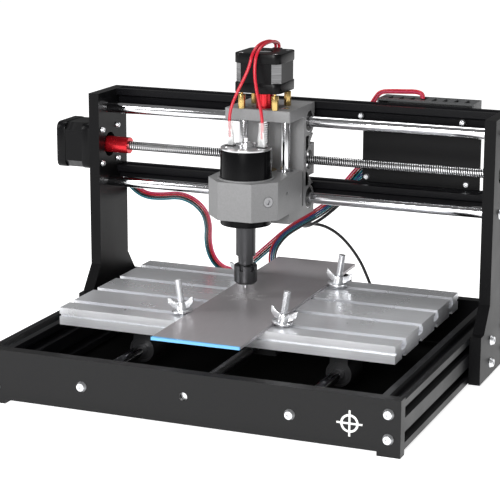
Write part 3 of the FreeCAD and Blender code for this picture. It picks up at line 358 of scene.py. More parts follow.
def make_finishes():
    colours = settings("colours")
    for name, maker in (("Grain", grain_effect), ("Brushed", brushed_effect), ("Handling", handling_effect)):
        EFFECTS[name] = maker()
    along_x, along_y, along_z = (30.0, 1800.0, 1800.0), (1800.0, 30.0, 1800.0), (1800.0, 1800.0, 30.0)
    Finish("panel", (0.006, 0.006, 0.0065), 0.34, grain=500.0, bump=0.02, rough_spread=0.05, shine=0.08)
    low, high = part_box("front_panel")
    mark_inset = 41 * MM
    panel_with_mark("front_panel", Vector((high.x - mark_inset, low.y, high.z / 2)))
    Finish("profile_x", (0.005, 0.005, 0.006), 0.36, lines=along_x, bump=0.08, shine=0.1)
    Finish("profile_y", (0.005, 0.005, 0.006), 0.36, lines=along_y, bump=0.08, shine=0.15)
    Finish("ground_rod", (0.80, 0.80, 0.82), 0.13, metal=1.0, grain=2500.0, bump=0.015, rough_spread=0.03,
           spread=0.03)
    Finish("thread_steel", (0.88, 0.88, 0.89), 0.28, metal=1.0, grain=1500.0, bump=0.05)
    Finish("dull_steel", (0.34, 0.34, 0.35), 0.34, metal=0.9, grain=1500.0, bump=0.05)
    # Near-black steel for the faces in the threads' valleys: painted shade in the grooves.
    Finish("painted_valley_shade", (0.018, 0.018, 0.019), 0.4, metal=0.9, grain=1500.0, bump=0.05)
    Finish("zinc", (0.80, 0.81, 0.83), 0.30, metal=0.85, grain=1100.0, bump=0.06, rough_spread=0.08)
    Finish("black_screw", (0.035, 0.035, 0.037), 0.30, metal=0.8, grain=1200.0, bump=0.05)
    Finish("table", (0.93, 0.94, 0.97), 0.30, metal=0.72, lines=along_x, bump=0.10, spread=0.10,
           patches=14.0, rough_spread=0.07)
    Finish("moulded_grey", colours.plastic, 0.50, grain=650.0, bump=0.22, spread=0.16, patches=35.0)
    Finish("moulded_black", (0.010, 0.010, 0.011), 0.5, grain=650.0, bump=0.2, shine=0.3)
    Finish("motor_bell", (0.004, 0.004, 0.0045), 0.33, grain=700.0, bump=0.10, shine=0.12)
    Finish("laminations", (0.26, 0.26, 0.265), 0.38, metal=0.9, lines=(8.0, 8.0, 1000.0), bump=0.35,
           spread=0.75)
    # A darker copy of the lamination steel for the X and Y motors: painted shade on their stacks.
    for axis, layers in (("x", (1000.0, 8.0, 8.0)), ("y", (8.0, 1000.0, 8.0))):
        Finish("shade_darkened_laminations_" + axis, (0.05, 0.05, 0.052), 0.35, metal=0.9, lines=layers, bump=0.3, spread=0.6)
    Finish("red_anodised", colours.coupling, 0.24, metal=0.75, grain=1200.0, bump=0.04, coat=0.2)
    Finish("brass", (0.62, 0.43, 0.16), 0.25, metal=1.0, grain=1200.0, bump=0.05)
    Finish("bearing_steel", (0.55, 0.55, 0.57), 0.2, metal=1.0, grain=1500.0, bump=0.03)
    Finish("blued_steel", (0.055, 0.055, 0.058), 0.36, metal=0.85, lines=along_z, bump=0.10, rough_spread=0.08)
    Finish("carbide", (0.62, 0.62, 0.63), 0.2, metal=1.0, grain=1500.0, bump=0.03)
    Finish("can", (0.004, 0.004, 0.0045), 0.18, grain=900.0, bump=0.02, shine=0.08)
    Finish("cap_metal", (0.68, 0.68, 0.69), 0.28, metal=1.0, grain=1100.0, bump=0.05)
    Finish("controller_plate", (0.005, 0.005, 0.0055), 0.42, grain=700.0, bump=0.05, shine=0.15)
    Finish("cover_paint", (0.075, 0.078, 0.080), 0.48, grain=1300.0, bump=0.16, spread=0.15)
    Finish("board", (0.02, 0.10, 0.05), 0.38, grain=800.0, bump=0.05, coat=0.3)
    wires = (("red", (0.55, 0.012, 0.03)), ("pink", (0.66, 0.06, 0.15)), ("blue", (0.035, 0.06, 0.22)),
             ("teal", (0.01, 0.16, 0.21)), ("black", (0.012, 0.012, 0.013)))
    for wire, colour in wires:
        Finish("wire_" + wire, colour, 0.38, grain=900.0, bump=0.03)
    Finish("lead_black", (0.014, 0.014, 0.015), 0.42, grain=900.0, bump=0.03)
    Finish("socket_white", (0.74, 0.73, 0.70), 0.42, grain=900.0, bump=0.05)
    Finish("seal", (0.015, 0.015, 0.015), 0.55, grain=800.0, bump=0.1)
    work_sheet_finish()
    clear_sleeve_finish()


# ---------------------------------------------------------------- modelling by hand
def fresh():
    """Object mode with nothing selected."""
    if bpy.context.mode != "OBJECT":
        bpy.ops.object.mode_set(mode="OBJECT")
    bpy.ops.object.select_all(action="DESELECT")


def named(name):
    made = bpy.context.object
    made.name = name
    made.data.name = name
    bpy.ops.object.transform_apply(location=True, rotation=True, scale=True)
    return made


def choose(thing):
    """Object mode with one piece selected and active."""
    fresh()
    thing.select_set(True)
    bpy.context.view_layer.objects.active = thing


def linked(name, data):
    """A new object in the scene."""
    made = bpy.data.objects.new(name, data)
    bpy.context.scene.collection.objects.link(made)
    return made


def block(name, corner, opposite):
    """A box between two opposite corners."""
    fresh()
    low, high = (Vector([end(pair) for pair in zip(corner, opposite)]) for end in (min, max))
    bpy.ops.mesh.primitive_cube_add(size=1, location=(low + high) / 2, scale=high - low)
    return named(name)


def drum(name, spot, radius, length, along=Z, sides=48, top=None):
    """A cylinder, or a cone where it has a top radius, from a spot along a direction."""
    fresh()
    turn = Z.rotation_difference(along).to_euler()
    where = Vector(spot) + Vector(along) * length / 2
    bpy.ops.mesh.primitive_cone_add(vertices=sides, radius1=radius, radius2=radius if top is None else top,
                                    depth=length, location=where, rotation=turn)
    return named(name)


def edit(thing):
    choose(thing)
    bpy.ops.object.mode_set(mode="EDIT")
    bpy.ops.mesh.select_all(action="DESELECT")


def pick(test, kind="FACE"):
    """Select faces by a test of centre and normal, or edges by a test of their two ends."""
    bpy.ops.mesh.select_mode(type=kind)
    bpy.ops.mesh.select_all(action="DESELECT")
    mesh = bmesh.from_edit_mesh(bpy.context.object.data)
    chosen = 0
    for item in (mesh.faces if kind == "FACE" else mesh.edges):
        if kind == "FACE":
            hit = test(item.calc_center_median(), item.normal)
        else:
            hit = test(item.verts[0].co, item.verts[1].co)
        if hit:
            item.select_set(True)
            chosen += 1
    bmesh.update_edit_mesh(bpy.context.object.data)
    if not chosen:
        raise RuntimeError("nothing picked on " + bpy.context.object.name)


def pull(step):
    """Extrude what is picked by a step."""
    bpy.ops.mesh.extrude_region_move(TRANSFORM_OT_translate={"value": step})


def done():
    bpy.ops.object.mode_set(mode="OBJECT")


def applied(thing, name, kind, **values):
    """Add a modifier to a new piece and apply it."""
    choose(thing)
    modifier = thing.modifiers.new(name, kind)
    for key, value in values.items():
        setattr(modifier, key, value)
    bpy.ops.object.modifier_apply(modifier=name)
    return thing


def soften(thing, width, segments=2, angle=38):
    """Round the sharp edges of a new piece."""
    applied(thing, "Edges", "BEVEL", width=width, segments=segments, limit_method="ANGLE",
            angle_limit=math.radians(angle), use_clamp_overlap=True)
    bpy.ops.object.shade_smooth_by_angle(angle=math.radians(35))
    return thing


def carve(thing, tool):
    """Cut one solid out of another."""
    applied(thing, "Cut", "BOOLEAN", object=tool, solver="EXACT")
    bpy.data.objects.remove(tool)
    return thing


def joined(name, things):
    fresh()
    for thing in things:
        thing.select_set(True)
    bpy.context.view_layer.objects.active = things[0]
    if len(things) > 1:
        bpy.ops.object.join()
    made = bpy.context.object
    made.name = name
    made.data.name = name
    return made


def coat(thing, finish):
    thing.data.materials.clear()
    thing.data.materials.append(FINISHES[finish])
    return thing


def fit(thing, body, slot, *nodes):
    """A finished piece joins its body and stands for its CAD nodes."""
    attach(thing, body)
    if nodes:
        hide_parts(*nodes)
    return thing


def dress(node, finish, edge=0.4 * MM):
    """Give a CAD part its finish and slightly rounded edges."""
    part = NODES[node]
    part.data.materials.clear()
    part.data.materials.append(FINISHES[finish])
    if edge:
        weld = part.modifiers.new("Weld", "WELD")
        weld.merge_threshold = 0.002 * MM
        round_over = part.modifiers.new("Edges", "BEVEL")
        round_over.width = edge
        round_over.segments = 2
        round_over.limit_method = "ANGLE"
        round_over.angle_limit = math.radians(40)
        even = part.modifiers.new("Even faces", "WEIGHTED_NORMAL")
        even.keep_sharp = True
    return part


def moved(thing, matrix):
    """Put a piece that was modelled at the origin in its place, for good."""
    choose(thing)
    thing.matrix_world = matrix
    bpy.ops.object.transform_apply(location=True, rotation=True, scale=True)
    return thing


def copied(thing, name):
    twin = linked(name, thing.data.copy())
    twin.data.name = name
    return twin


# ---------------------------------------------------------------- pieces
class ROUTER_OT_finishes(bpy.types.Operator):
    """Make the materials and their shared effects"""
    bl_idname = "router.finishes"
    bl_label = "Finishes"

    def execute(self, context):
        make_finishes()
        return {"FINISHED"}


class ROUTER_OT_frame(bpy.types.Operator):
    """Finish the panels, uprights, profiles, screws and lead screw bearings of the frame"""
    bl_idname = "router.frame"
    bl_label = "Frame"

    def execute(self, context):
        dress("front_panel", "front_panel", 0)
        for node in ("rear_panel", "left_upright", "right_upright"):
            dress(node, "panel", 0)
        dress("base_profiles", "profile_y", 0)
        dress("gantry_profiles", "profile_x", 0)
        dress("frame_screws", "zinc", 0.25 * MM)
        dress("small_screws", "zinc", 0.15 * MM)
        dress("lead_screw_bearings", "bearing_steel", 0.2 * MM)
        return {"FINISHED"}


class ROUTER_OT_rods(bpy.types.Operator):
    """Turn the six ground guide rods"""
    bl_idname = "router.rods"
    bl_label = "Guide rods"

    def execute(self, context):
        for axis, way, body, apart in (("x", X, "base", Z), ("y", Y, "base", X), ("z", Z, "x_carriage", X)):
            node = axis + "_guide_rods"
            low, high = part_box(node)
            third = Vector((1, 1, 1)) - way - apart
            radius = (high - low).dot(third) / 2
            length = (high - low).dot(way)
            centre = middle(node)
            reach = (high - low).dot(apart) / 2 - radius
            rods = []
            for side in (-1, 1):
                start = centre + apart * side * reach - way * length / 2
                rods.append(soften(drum(node, start, radius, length, way, 64), 0.6 * MM))
            fit(coat(joined(node + "_ground", rods), "ground_rod"), body, "rod_steel", node)
        return {"FINISHED"}


class ROUTER_OT_table(bpy.types.Operator):
    """Finish the sliding table, its bearing blocks and the sheet on it"""
    bl_idname = "router.table"
    bl_label = "Table"

    def execute(self, context):
        dress("bed_plate", "table", 0)
        dress("y_bearing_blocks", "moulded_black", 0.3 * MM)
        dress("y_nut_block", "moulded_black", 0.3 * MM)
        dress("work_sheet", "work_sheet", 0)
        return {"FINISHED"}


class ROUTER_OT_carriage(bpy.types.Operator):
    """Finish the carriage and the slide block, and add seals and ribs"""
    bl_idname = "router.carriage"
    bl_label = "Carriage"

    def execute(self, context):
        dress("x_carriage", "moulded_grey", 0.7 * MM)
        dress("spindle_clamp_block", "moulded_grey", 0.7 * MM)
        for node in ("x_linear_bearings", "z_linear_bearings"):
            dress(node, "bearing_steel", 0.3 * MM)
        for node in ("x_lead_nut", "z_lead_nut"):
            dress(node, "brass", 0.3 * MM)
        dress("spindle_clamp_screw", "dull_steel", 0.25 * MM)
        for node in ("x_coupling", "y_coupling", "z_coupling"):
            dress(node, "red_anodised", 0.4 * MM)
        for node in ("x_motor_shaft", "y_motor_shaft", "z_motor_shaft"):
            dress(node, "ground_rod", 0.2 * MM)
        self.standoffs()
        self.lip()
        self.seals()
        self.gussets()
        self.collar()
        return {"FINISHED"}

    def standoffs(self):
        """Hexagonal brass posts between the carriage's top and the Z motor, with their threaded ends."""
        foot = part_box("x_carriage")[1].z
        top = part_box("z_motor")[0].z
        low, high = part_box("z_motor_standoffs")
        posts = []
        radius, stud_radius = 3.2 * MM, 1.2 * MM
        for x in (low.x + radius, high.x - radius):
            for y in (low.y + radius, high.y - radius):
                post = drum("post", (x, y, foot), radius, top - foot, sides=6)
                posts.append(soften(post, 0.25 * MM))
                posts.append(drum("stud", (x, y, low.z), stud_radius, high.z - low.z - MM, sides=16))
        fit(coat(joined("brass_posts", posts), "brass"), "x_carriage", "brass", "z_motor_standoffs")

    def lip(self):
        """Rounded lip along the front of the carriage's top plate, over the mouths of the standoff holes."""
        low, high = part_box("x_carriage")
        plate, inset = 10 * MM, 0.3 * MM
        edge = block("carriage_lip", (low.x + inset, low.y - 0.4 * MM, high.z - plate + inset),
                     (high.x - inset, low.y + 0.6 * MM, high.z - inset))
        fit(coat(soften(edge, 0.3 * MM), "moulded_grey"), "x_carriage", "grey_plastic")

    def seals(self):
        """Black lip seals in the outer ends of the linear bearings."""
        low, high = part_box("x_linear_bearings")
        rings = []
        bearing, outer, bore, thick = 9.5 * MM, 8.6 * MM, 5.25 * MM, 0.8 * MM
        for rod_z in (low.z + bearing, high.z - bearing):
            for side, way in ((low.x, X), (high.x, -X)):
                spot = Vector((side, (low.y + high.y) / 2, rod_z)) - way * 0.15 * MM
                ring = drum("seal", spot, outer, thick, way)
                hole = drum("hole", spot - way * MM, bore, 3 * MM, way)
                rings.append(soften(carve(ring, hole), 0.15 * MM))
        fit(coat(joined("bearing_seals", rings), "seal"), "x_carriage", "block_black")

    def gussets(self):
        """Triangular ribs on both sides of the carriage, between wall and bearing tubes."""
        low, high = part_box("x_carriage")
        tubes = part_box("x_linear_bearings")
        ribs = []
        wall, thick, deep, tall, tip = 72 * MM, 3 * MM, 20 * MM, 14 * MM, 3 * MM
        tube, close = 21 * MM, 0.01 * MM
        for side in (low.x, high.x - thick):
            for z, way in ((tubes[1].z - tube, -1), (tubes[0].z + tube, 1)):
                rib = block("rib", (side, wall, z), (side + thick, wall + deep, z + way * tall))
                edit(rib)
                pick(lambda a, b: all(abs(end.y - wall - deep) < close and abs(end.z - z - way * tall) < close
                                      for end in (a, b)), "EDGE")
                bpy.ops.transform.translate(value=(0, tip - deep, 0))
                done()
                ribs.append(soften(rib, 0.5 * MM))
        fit(coat(joined("carriage_ribs", ribs), "moulded_grey"), "x_carriage", "grey_plastic")

    def collar(self):
        """Raised rim round the motor bore on top of the slide block."""
        spot = middle("spindle_can")
        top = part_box("spindle_clamp_block")[1].z
        rim_radius, bore, sunk, rise = 24.4 * MM, 22.35 * MM, 0.4 * MM, 1.5 * MM
        rim = drum("spindle_collar", Vector((spot.x, spot.y, top - sunk)), rim_radius, sunk + rise, sides=96)
        hole = drum("hole", Vector((spot.x, spot.y, top - 2 * MM)), bore, 6 * MM, sides=96)
        soften(carve(rim, hole), 0.5 * MM)
        fit(coat(rim, "moulded_grey"), "z_slide", "grey_plastic")


THREAD_PROFILE = ((0.0, 0), (0.22, 0), (0.38, 1), (0.84, 1))  # share of a pitch, and 1 on the crest


def drawn_line(name, points):
    """A line of edges: one vertex, pulled on from point to point."""
    fresh()
    bpy.ops.mesh.primitive_plane_add(size=2 * MM, calc_uvs=False)
    line = named(name)
    edit(line)
    bpy.ops.mesh.select_mode(type="VERT")
    bpy.ops.mesh.select_all(action="SELECT")
    bpy.ops.mesh.merge(type="CENTER")
    bpy.ops.transform.translate(value=points[0])
    for here, after in zip(points, points[1:]):
        pull(after - here)
    done()
    return line


def thread_bar(name, radius, depth, pitch, starts, length, sides=20):
    """A threaded bar along Z from the origin: one turn of its profile, screwed up and cut to length."""
    lead = pitch * starts
    root = radius - depth
    profile = [Vector((root + depth * crest, 0, (start + share) * pitch))
               for start in range(starts) for share, crest in THREAD_PROFILE]
    bar = drawn_line(name, profile + [Vector((root, 0, lead))])
    applied(bar, "Thread", "SCREW", axis="Z", screw_offset=lead, steps=sides, render_steps=sides,
            iterations=math.ceil(length / lead) + 2, use_merge_vertices=True, merge_threshold=0.005 * MM)
    moved(bar, Matrix.Translation((0, 0, -lead)))
    edit(bar)
    for height, way in ((0.0, -1), (length, 1)):
        bpy.ops.mesh.select_all(action="SELECT")
        bpy.ops.mesh.bisect(plane_co=(0, 0, height), plane_no=(0, 0, way), clear_outer=True, use_fill=True)
    bpy.ops.mesh.select_all(action="SELECT")
    bpy.ops.mesh.normals_make_consistent(inside=False)
    done()
    bpy.ops.object.shade_smooth_by_angle(angle=math.radians(28))
    coat(bar, "thread_steel")
    # The faces down in the valleys take the near-black steel: painted shade in the grooves.
    bar.data.materials.append(FINISHES["painted_valley_shade"])
    for face in bar.data.polygons:
        if face.center.xy.length < radius - depth * 0.4 and abs(face.normal.z) < 0.95:
            face.material_index = 1
    return bar


def lay_along(start, way):
    """The place of a piece that was modelled along Z, now from a start along another direction."""
    return Matrix.Translation(start) @ Z.rotation_difference(Vector(way)).to_matrix().to_4x4()


class ROUTER_OT_lead_screws(bpy.types.Operator):
    """Cut the threads of the three lead screws"""
    bl_idname = "router.lead_screws"
    bl_label = "Lead screws"

    def execute(self, context):
        size = settings("threads")
        for axis, way, body in (("x", X, "x_screw"), ("y", Y, "y_screw"), ("z", Z, "z_screw")):
            node = axis + "_lead_screw"
            low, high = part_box(node)
            length = (high - low).dot(way)
            bar = thread_bar(node + "_thread", size.radius, size.depth, size.pitch, size.starts, length)
            fit(moved(bar, lay_along(middle(node) - way * length / 2, way)), body, "screw_steel", node)
        return {"FINISHED"}


class ROUTER_OT_clamps(bpy.types.Operator):
    """Model the four clamps: T-bolt, washer and wing nut"""
    bl_idname = "router.clamps"
    bl_label = "Clamps"

    def execute(self, context):
        size = settings("threads")
        bolt = self.bolt(size)
        nut = self.wing_nut()
        for number in (1, 2, 3, 4):
            place = self.place(number)
            bolt_node = "clamp_bolt_%d" % number
            nut_node = "wing_nut_%d" % number
            fit(moved(copied(bolt, "t_bolt_%d" % number), place), "clamp_%d" % number, "bolt_steel", bolt_node)
            fit(moved(copied(nut, "wings_%d" % number), place), "clamp_%d_nut" % number, "bolt_steel", nut_node)
        bpy.data.objects.remove(bolt)
        bpy.data.objects.remove(nut)
        return {"FINISHED"}

    def place(self, number):
        """Foot of the clamp on the table and the lean of its bolt, from the joint that its nut turns on."""
        joint = next(j for j in frame["joints"] if j["name"] == "clamp_%d_nut_turn" % number)
        return lay_along(Vector(joint["pos_m"]), Vector(joint["axis"]).normalized())

    def bolt(self, size):
        """T-bolt along Z with its washer, from its head in the slot to its top."""
        half, head_low, head_high = Vector((4.5, 5.2, 0)) * MM, Z * -6.2 * MM, Z * -3.6 * MM
        neck_radius, bolt_radius, bolt_length, foot = 2.95 * MM, 3 * MM, 29 * MM, 0.8 * MM
        washer_radius, washer_bore = 9 * MM, 3.2 * MM
        head = soften(block("head", head_low - half, head_high + half), 0.5 * MM)
        neck = drum("neck", (0, 0, -4 * MM), neck_radius, 5 * MM, sides=24)
        bar = thread_bar("bar", bolt_radius, size.bolt_depth, size.bolt_pitch, 1, bolt_length, 16)
        moved(bar, Matrix.Translation((0, 0, foot)))
        washer = drum("washer", (0, 0, 2.1 * MM), washer_radius, 1.6 * MM, sides=64)
        soften(carve(washer, drum("hole", (0, 0, 0), washer_bore, 6 * MM, sides=32)), 0.3 * MM)
        return coat(joined("t_bolt", [head, neck, bar, washer]), "zinc")

    def wing_nut(self):
        """Wing nut: a tapered hub with two ears drawn out and up, their edges rounded."""
        base, foot, crown, bore = 3.75 * MM, 5.5 * MM, 4.3 * MM, 3.05 * MM
        hub = drum("hub", (0, 0, base), foot, 7 * MM, top=crown, sides=32)
        soften(carve(hub, drum("hole", (0, 0, 0), bore, 20 * MM, sides=32)), 0.4 * MM)
        ears = []
        for turn in (0.0, math.pi):
            ear = block("ear", (3.0 * MM, -1.3 * MM, base + 0.5 * MM), (4.6 * MM, 1.3 * MM, base + 6.6 * MM))
            edit(ear)
            for out, up, tall, thick in ((2.8, 1.5, 1.0, 0.85), (2.4, 2.2, 1.05, 0.9), (1.9, 1.9, 0.72, 0.9)):
                pick(lambda c, n: n.x > 0.5 and c.x > 4.0 * MM)
                pull((out * MM, 0, up * MM))
                bpy.ops.transform.resize(value=(1, thick, tall))
            done()
            soften(ear, 0.75 * MM, 3, 25)
            ears.append(moved(ear, Matrix.Rotation(turn, 4, "Z")))
        nut = joined("wing_nut", [hub] + ears)
        bpy.ops.object.shade_smooth_by_angle(angle=math.radians(50))
        return coat(nut, "zinc")


class ROUTER_OT_motors(bpy.types.Operator):
    """Model the three stepper motors"""
    bl_idname = "router.motors"
    bl_label = "Stepper motors"

    def execute(self, context):
        size = settings("motors")
        for axis, body, rear_way in (("x", "base", -X), ("y", "base", Y), ("z", "x_carriage", Z)):
            node = axis + "_motor"
            low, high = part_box(node)
            shaft = middle(node + "_shaft")
            rear = high if rear_way.dot(Vector((1, 1, 1))) > 0 else low
            face = shaft + rear_way * (rear.dot(rear_way) - size.length - shaft.dot(rear_way))
            # The X and Y stacks take the darker copy of the lamination steel, which is painted shade.
            stack_finish = "laminations" if axis == "z" else "shade_darkened_laminations_" + axis
            pieces = self.motor(size, stack_finish, face, rear_way) + [self.socket(size, face, rear_way, axis)]
            fit(joined(node + "_body", pieces), body, "motor_black", node)
        return {"FINISHED"}

    def slab(self, name, face, way, width, start, end, corner, segments):
        """A square slab across the motor's axis with its four long corners cut."""
        side = Vector([0 if abs(w) > 0.5 else width / 2 for w in way])
        slab = block(name, face + way * start - side, face + way * end + side)
        edit(slab)
        pick(lambda a, b: abs((a - b).normalized().dot(way)) > 0.9, "EDGE")
        bpy.ops.mesh.bevel(offset=corner * (1.0 if segments == 1 else 1.25), segments=segments, profile=0.5)
        done()
        return slab

    def motor(self, size, stack_finish, face, way):
        """Front bell with its pilot, lamination stack, and rear bell with its bearing and four screws."""
        front = self.slab("front", face, way, size.width, 0, size.bell, size.corner, 3)
        rear_start = size.length - size.bell
        rear = self.slab("rear", face, way, size.width, rear_start, size.length, size.corner, 3)
        stack_width = size.width - 0.8 * MM
        stack = self.slab("stack", face, way, stack_width, size.bell, rear_start, size.stack_corner, 1)
        coat(stack, "motor_bell")
        stack.data.materials.append(FINISHES[stack_finish])
        for side in stack.data.polygons:
            if max(abs(n) for n in side.normal) < 0.9:
                side.material_index = 1
        end = face + way * size.length
        for bell in (front, rear):
            soften(bell, 0.5 * MM)
        dish, race, sink, screw, socket = 7.2 * MM, 5.4 * MM, 3.1 * MM, 2.7 * MM, 1.3 * MM
        carve(rear, drum("dish", end - way * 1.4 * MM, dish, 3 * MM, way))
        sides = [v for v in (X, Y, Z) if abs(v.dot(way)) < 0.5]
        bright = [drum("race", end - way * 1.5 * MM, race, 1.0 * MM, way)]
        for a in (-1, 1):
            for b in (-1, 1):
                spot = end + (sides[0] * a + sides[1] * b) * size.holes / 2
                carve(rear, drum("sink", spot - way * 1.6 * MM, sink, 4 * MM, way, 24))
                head = drum("head", spot - way * 1.7 * MM, screw, 1.5 * MM, way, 24)
                carve(head, drum("socket", spot - way * 1.0 * MM, socket, 3 * MM, way, 6))
                bright.append(soften(head, 0.3 * MM))
        for bell in (front, rear):
            coat(bell, "motor_bell")
        pilot_radius, pilot_tall, sunk = 11 * MM, 2 * MM, 0.4 * MM
        pilot = drum("pilot", face - way * pilot_tall, pilot_radius, pilot_tall + sunk, way)
        coat(soften(pilot, 0.4 * MM), "motor_bell")
        for piece in bright:
            coat(piece, "zinc")
        return [front, stack, rear, pilot] + bright

    def socket(self, size, face, way, axis):
        """White wire socket on the side of the rear bell."""
        out = -X if axis == "y" else Y
        half = way.cross(out) * 6.9 * MM + way * 3.3 * MM
        reach, sunk = 3.7 * MM, 1 * MM
        side = face + way * (size.length - size.bell / 2) + out * size.width / 2
        shell = block("socket", side - out * sunk - half, side + out * reach + half)
        return coat(soften(shell, 0.5 * MM), "socket_white")


class ROUTER_OT_spindle(bpy.types.Operator):
    """Model the spindle motor's can and cap and finish the tool holder"""
    bl_idname = "router.spindle"
    bl_label = "Spindle"

    def execute(self, context):
        low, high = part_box("spindle_can")
        axis = Vector(((low.x + high.x) / 2, (low.y + high.y) / 2, 0))
        can_radius, mouth_radius, mouth_deep = 22.2 * MM, 9 * MM, 3 * MM
        can = drum("can_shell", axis + Z * low.z, can_radius, high.z - low.z, sides=96)
        mouth = drum("mouth", axis + Z * (low.z - MM), mouth_radius, mouth_deep + MM)
        carve(can, mouth)
        soften(can, 0.9 * MM, 3)
        fit(coat(can, "can"), "z_slide", "motor_black", "spindle_can")
        self.cap(axis, high.z)
        dress("spindle_rotor", "ground_rod", 0.2 * MM)
        dress("collet_extension", "blued_steel", 0.4 * MM)
        dress("collet_nut", "blued_steel", 0.3 * MM)
        dress("engraving_bit", "carbide", 0)
        return {"FINISHED"}

    def cap(self, axis, base):
        """Silver end cap with a bearing boss, two black insulators and two flat terminals."""
        plate_radius, vent_ring, vent, boss_radius = 21.9 * MM, 17.5 * MM, 1.6 * MM, 7.5 * MM
        plate = drum("plate", axis + Z * (base - 0.2 * MM), plate_radius, 1.7 * MM, sides=96)
        for turn in range(6):
            spin = math.radians(60 * turn + 30)
            spot = axis + Vector((math.cos(spin), math.sin(spin), 0)) * vent_ring + Z * (base + 0.9 * MM)
            if abs(math.cos(spin)) < 0.9:
                carve(plate, drum("vent", spot, vent, 2 * MM, Z, 24))
        soften(plate, 0.35 * MM)
        boss = drum("boss", axis + Z * (base + 1.2 * MM), boss_radius, 2.8 * MM, sides=64)
        edit(boss)
        pick(lambda c, n: n.z > 0.9)
        bpy.ops.mesh.inset(thickness=2.2 * MM)
        pull((0, 0, 1.3 * MM))
        bpy.ops.mesh.inset(thickness=2.0 * MM)
        pull((0, 0, -0.7 * MM))
        done()
        soften(boss, 0.35 * MM)
        silver = coat(joined("cap_metal", [plate, boss]), "cap_metal")
        shoes, tabs = [], []
        for side in (-1, 1):
            foot = axis + X * side * TERMINAL_OFF
            shoe = block("shoe", foot + Vector((-4 * MM, -3.2 * MM, base + 1.3 * MM)),
                         foot + Vector((4 * MM, 3.2 * MM, base + 2.2 * MM)))
            shoes.append(soften(shoe, 0.3 * MM))
            tab = block("tab", foot + Vector((-2.4 * MM, -0.4 * MM, base + 1 * MM)),
                        foot + Vector((2.4 * MM, 0.4 * MM, base + 9 * MM)))
            edit(tab)
            pick(lambda c, n: n.z > 0.9)
            bpy.ops.transform.resize(value=(0.55, 1, 1))
            done()
            tabs.append(soften(tab, 0.12 * MM))
        black = coat(joined("insulators", shoes), "moulded_black")
        bright = coat(joined("terminals", tabs), "cap_metal")
        fit(joined("end_cap", [silver, black, bright]), "z_slide", "screw_steel", "spindle_end_cap")


# ---------------------------------------------------------------- cables
X_MOTOR_ROUTE = [
    (-215, 107, 176.5), (-215, 118, 176), (-213, 130, 171), (-207, 137, 161), (-198, 137, 148),
    (-188, 131, 136), (-177, 126.5, 127), (-164, 124.5, 121), (-148, 125.5, 121), (-131, 128, 123.5),
    (-119, 134, 118), (-113, 147, 105), (-117, 165, 87), (-125, 181, 70), (-126, 189, 54),
    (-120, 192, 42), (-108, 193.5, 36), (-94, 192.5, 39.5), (-79, 188, 52), (-60, 182, 69),
    (-40, 175, 87), (-14, 161, 105), (8, 149, 120), (24, 140, 136), (36, 134, 150),
    (46, 131, 161.5), (54.5, 130, 167), (66, 130, 168),
]
Y_MOTOR_ROUTE = [
    (-25, 184.5, 26.5), (-36, 185, 26.5), (-47, 186.5, 29), (-55, 187.5, 36.5), (-59, 187, 47),
    (-58.5, 183, 58), (-54, 178, 69), (-46, 173, 79.5), (-37, 168.5, 88), (-16, 157, 102),
    (7, 146, 116.5), (23, 139.5, 131), (36, 137.5, 143), (46, 134, 154), (55, 132, 160),
    (66, 132, 161),
]
DATA_ROUTE = [
    (66, 138, 153), (56, 138, 152.5), (46, 140, 147), (35, 144, 136.5), (19, 152, 121), (2, 160.5, 106.5),
    (-13, 169, 96.5), (-25, 181, 91), (-32, 195, 89.5), (-29, 209, 88), (-19, 219, 85),
    (-9, 228, 77), (-0.5, 235.5, 66), (7, 240.5, 54), (13, 243, 43), (18, 244.5, 31),
    (23, 245, 19), (31, 245.2, 8.5), (43, 244.5, 3), (56, 240.5, 1.8), (69, 234, 1.8),
    (82, 230, 1.8),
]
CARRIAGE_ROUTE = [
    (-13.6, 75, 270.7), (-13.6, 86, 270.7), (-16, 99, 268.5), (-22, 110, 261), (-30, 118, 250),
    (-38, 123.5, 237), (-41.5, 127.5, 223.5), (-37, 130, 211.5), (-26, 130.5, 206), (-12, 130, 205),
    (6, 129.5, 206), (24, 129, 208), (38, 128.5, 210), (50, 128, 214), (57, 128, 219.5),
    (60.7, 129, 227), (65, 130.5, 233.3), (76, 131.8, 234), (88, 132, 234.4), (97, 131.8, 235),
    (102.2, 131.5, 234), (104, 131.5, 232), (104, 131.5, 229.3),
]
LEFT_LEAD_ROUTE = [
    (-28.1, 7.6, 206), (-28.4, 7.6, 213.5), (-29.3, 8, 221), (-28.6, 10, 231), (-25, 14.5, 243),
    (-19.5, 18.5, 256), (-16, 21, 266), (-15, 23, 274), (-14.5, 31, 280), (-14, 42, 282.5),
    (-14.2, 54, 282.8), (-14.8, 66, 281.8), (-15.2, 75, 279.6), (-15.2, 79, 277.6), (-15.2, 79, 274.8),
]
RIGHT_LEAD_ROUTE = [
    (0.9, 7.6, 206), (1.1, 7.6, 213.5), (0.8, 8.5, 221), (-2, 11.5, 231), (-7, 16, 243),
    (-11, 20, 256), (-11.8, 22, 266), (-11.4, 24.2, 274.5), (-11, 32, 280), (-10.4, 42, 282.3),
    (-10.6, 54, 282.5), (-11.2, 66, 281.6), (-11.9, 75, 279.6), (-11.9, 79, 277.6), (-11.9, 79, 274.8),
]


def in_metres(route):
    return [Vector(point) * MM for point in route]


def curve_line(name, points, kind, thick, round_steps):
    """A curve object with one line whose points are these, and the line itself."""
    curve = bpy.data.curves.new(name, "CURVE")
    curve.dimensions = "3D"
    curve.bevel_depth = thick / 2
    curve.bevel_resolution = round_steps
    curve.use_fill_caps = True
    curve.resolution_u = 10
    line = curve.splines.new(kind)
    line.points.add(len(points) - 1)
    for spot, point in zip(line.points, points):
        spot.co = (*point, 1)
    return linked(name, curve), line


def route_curve(name, points, thick=0.0):
    """A smooth line with the route's points as its control points."""
    thing, line = curve_line(name, points, "NURBS", thick, 4)
    line.order_u = 3
    line.use_endpoint_u = True
    return thing


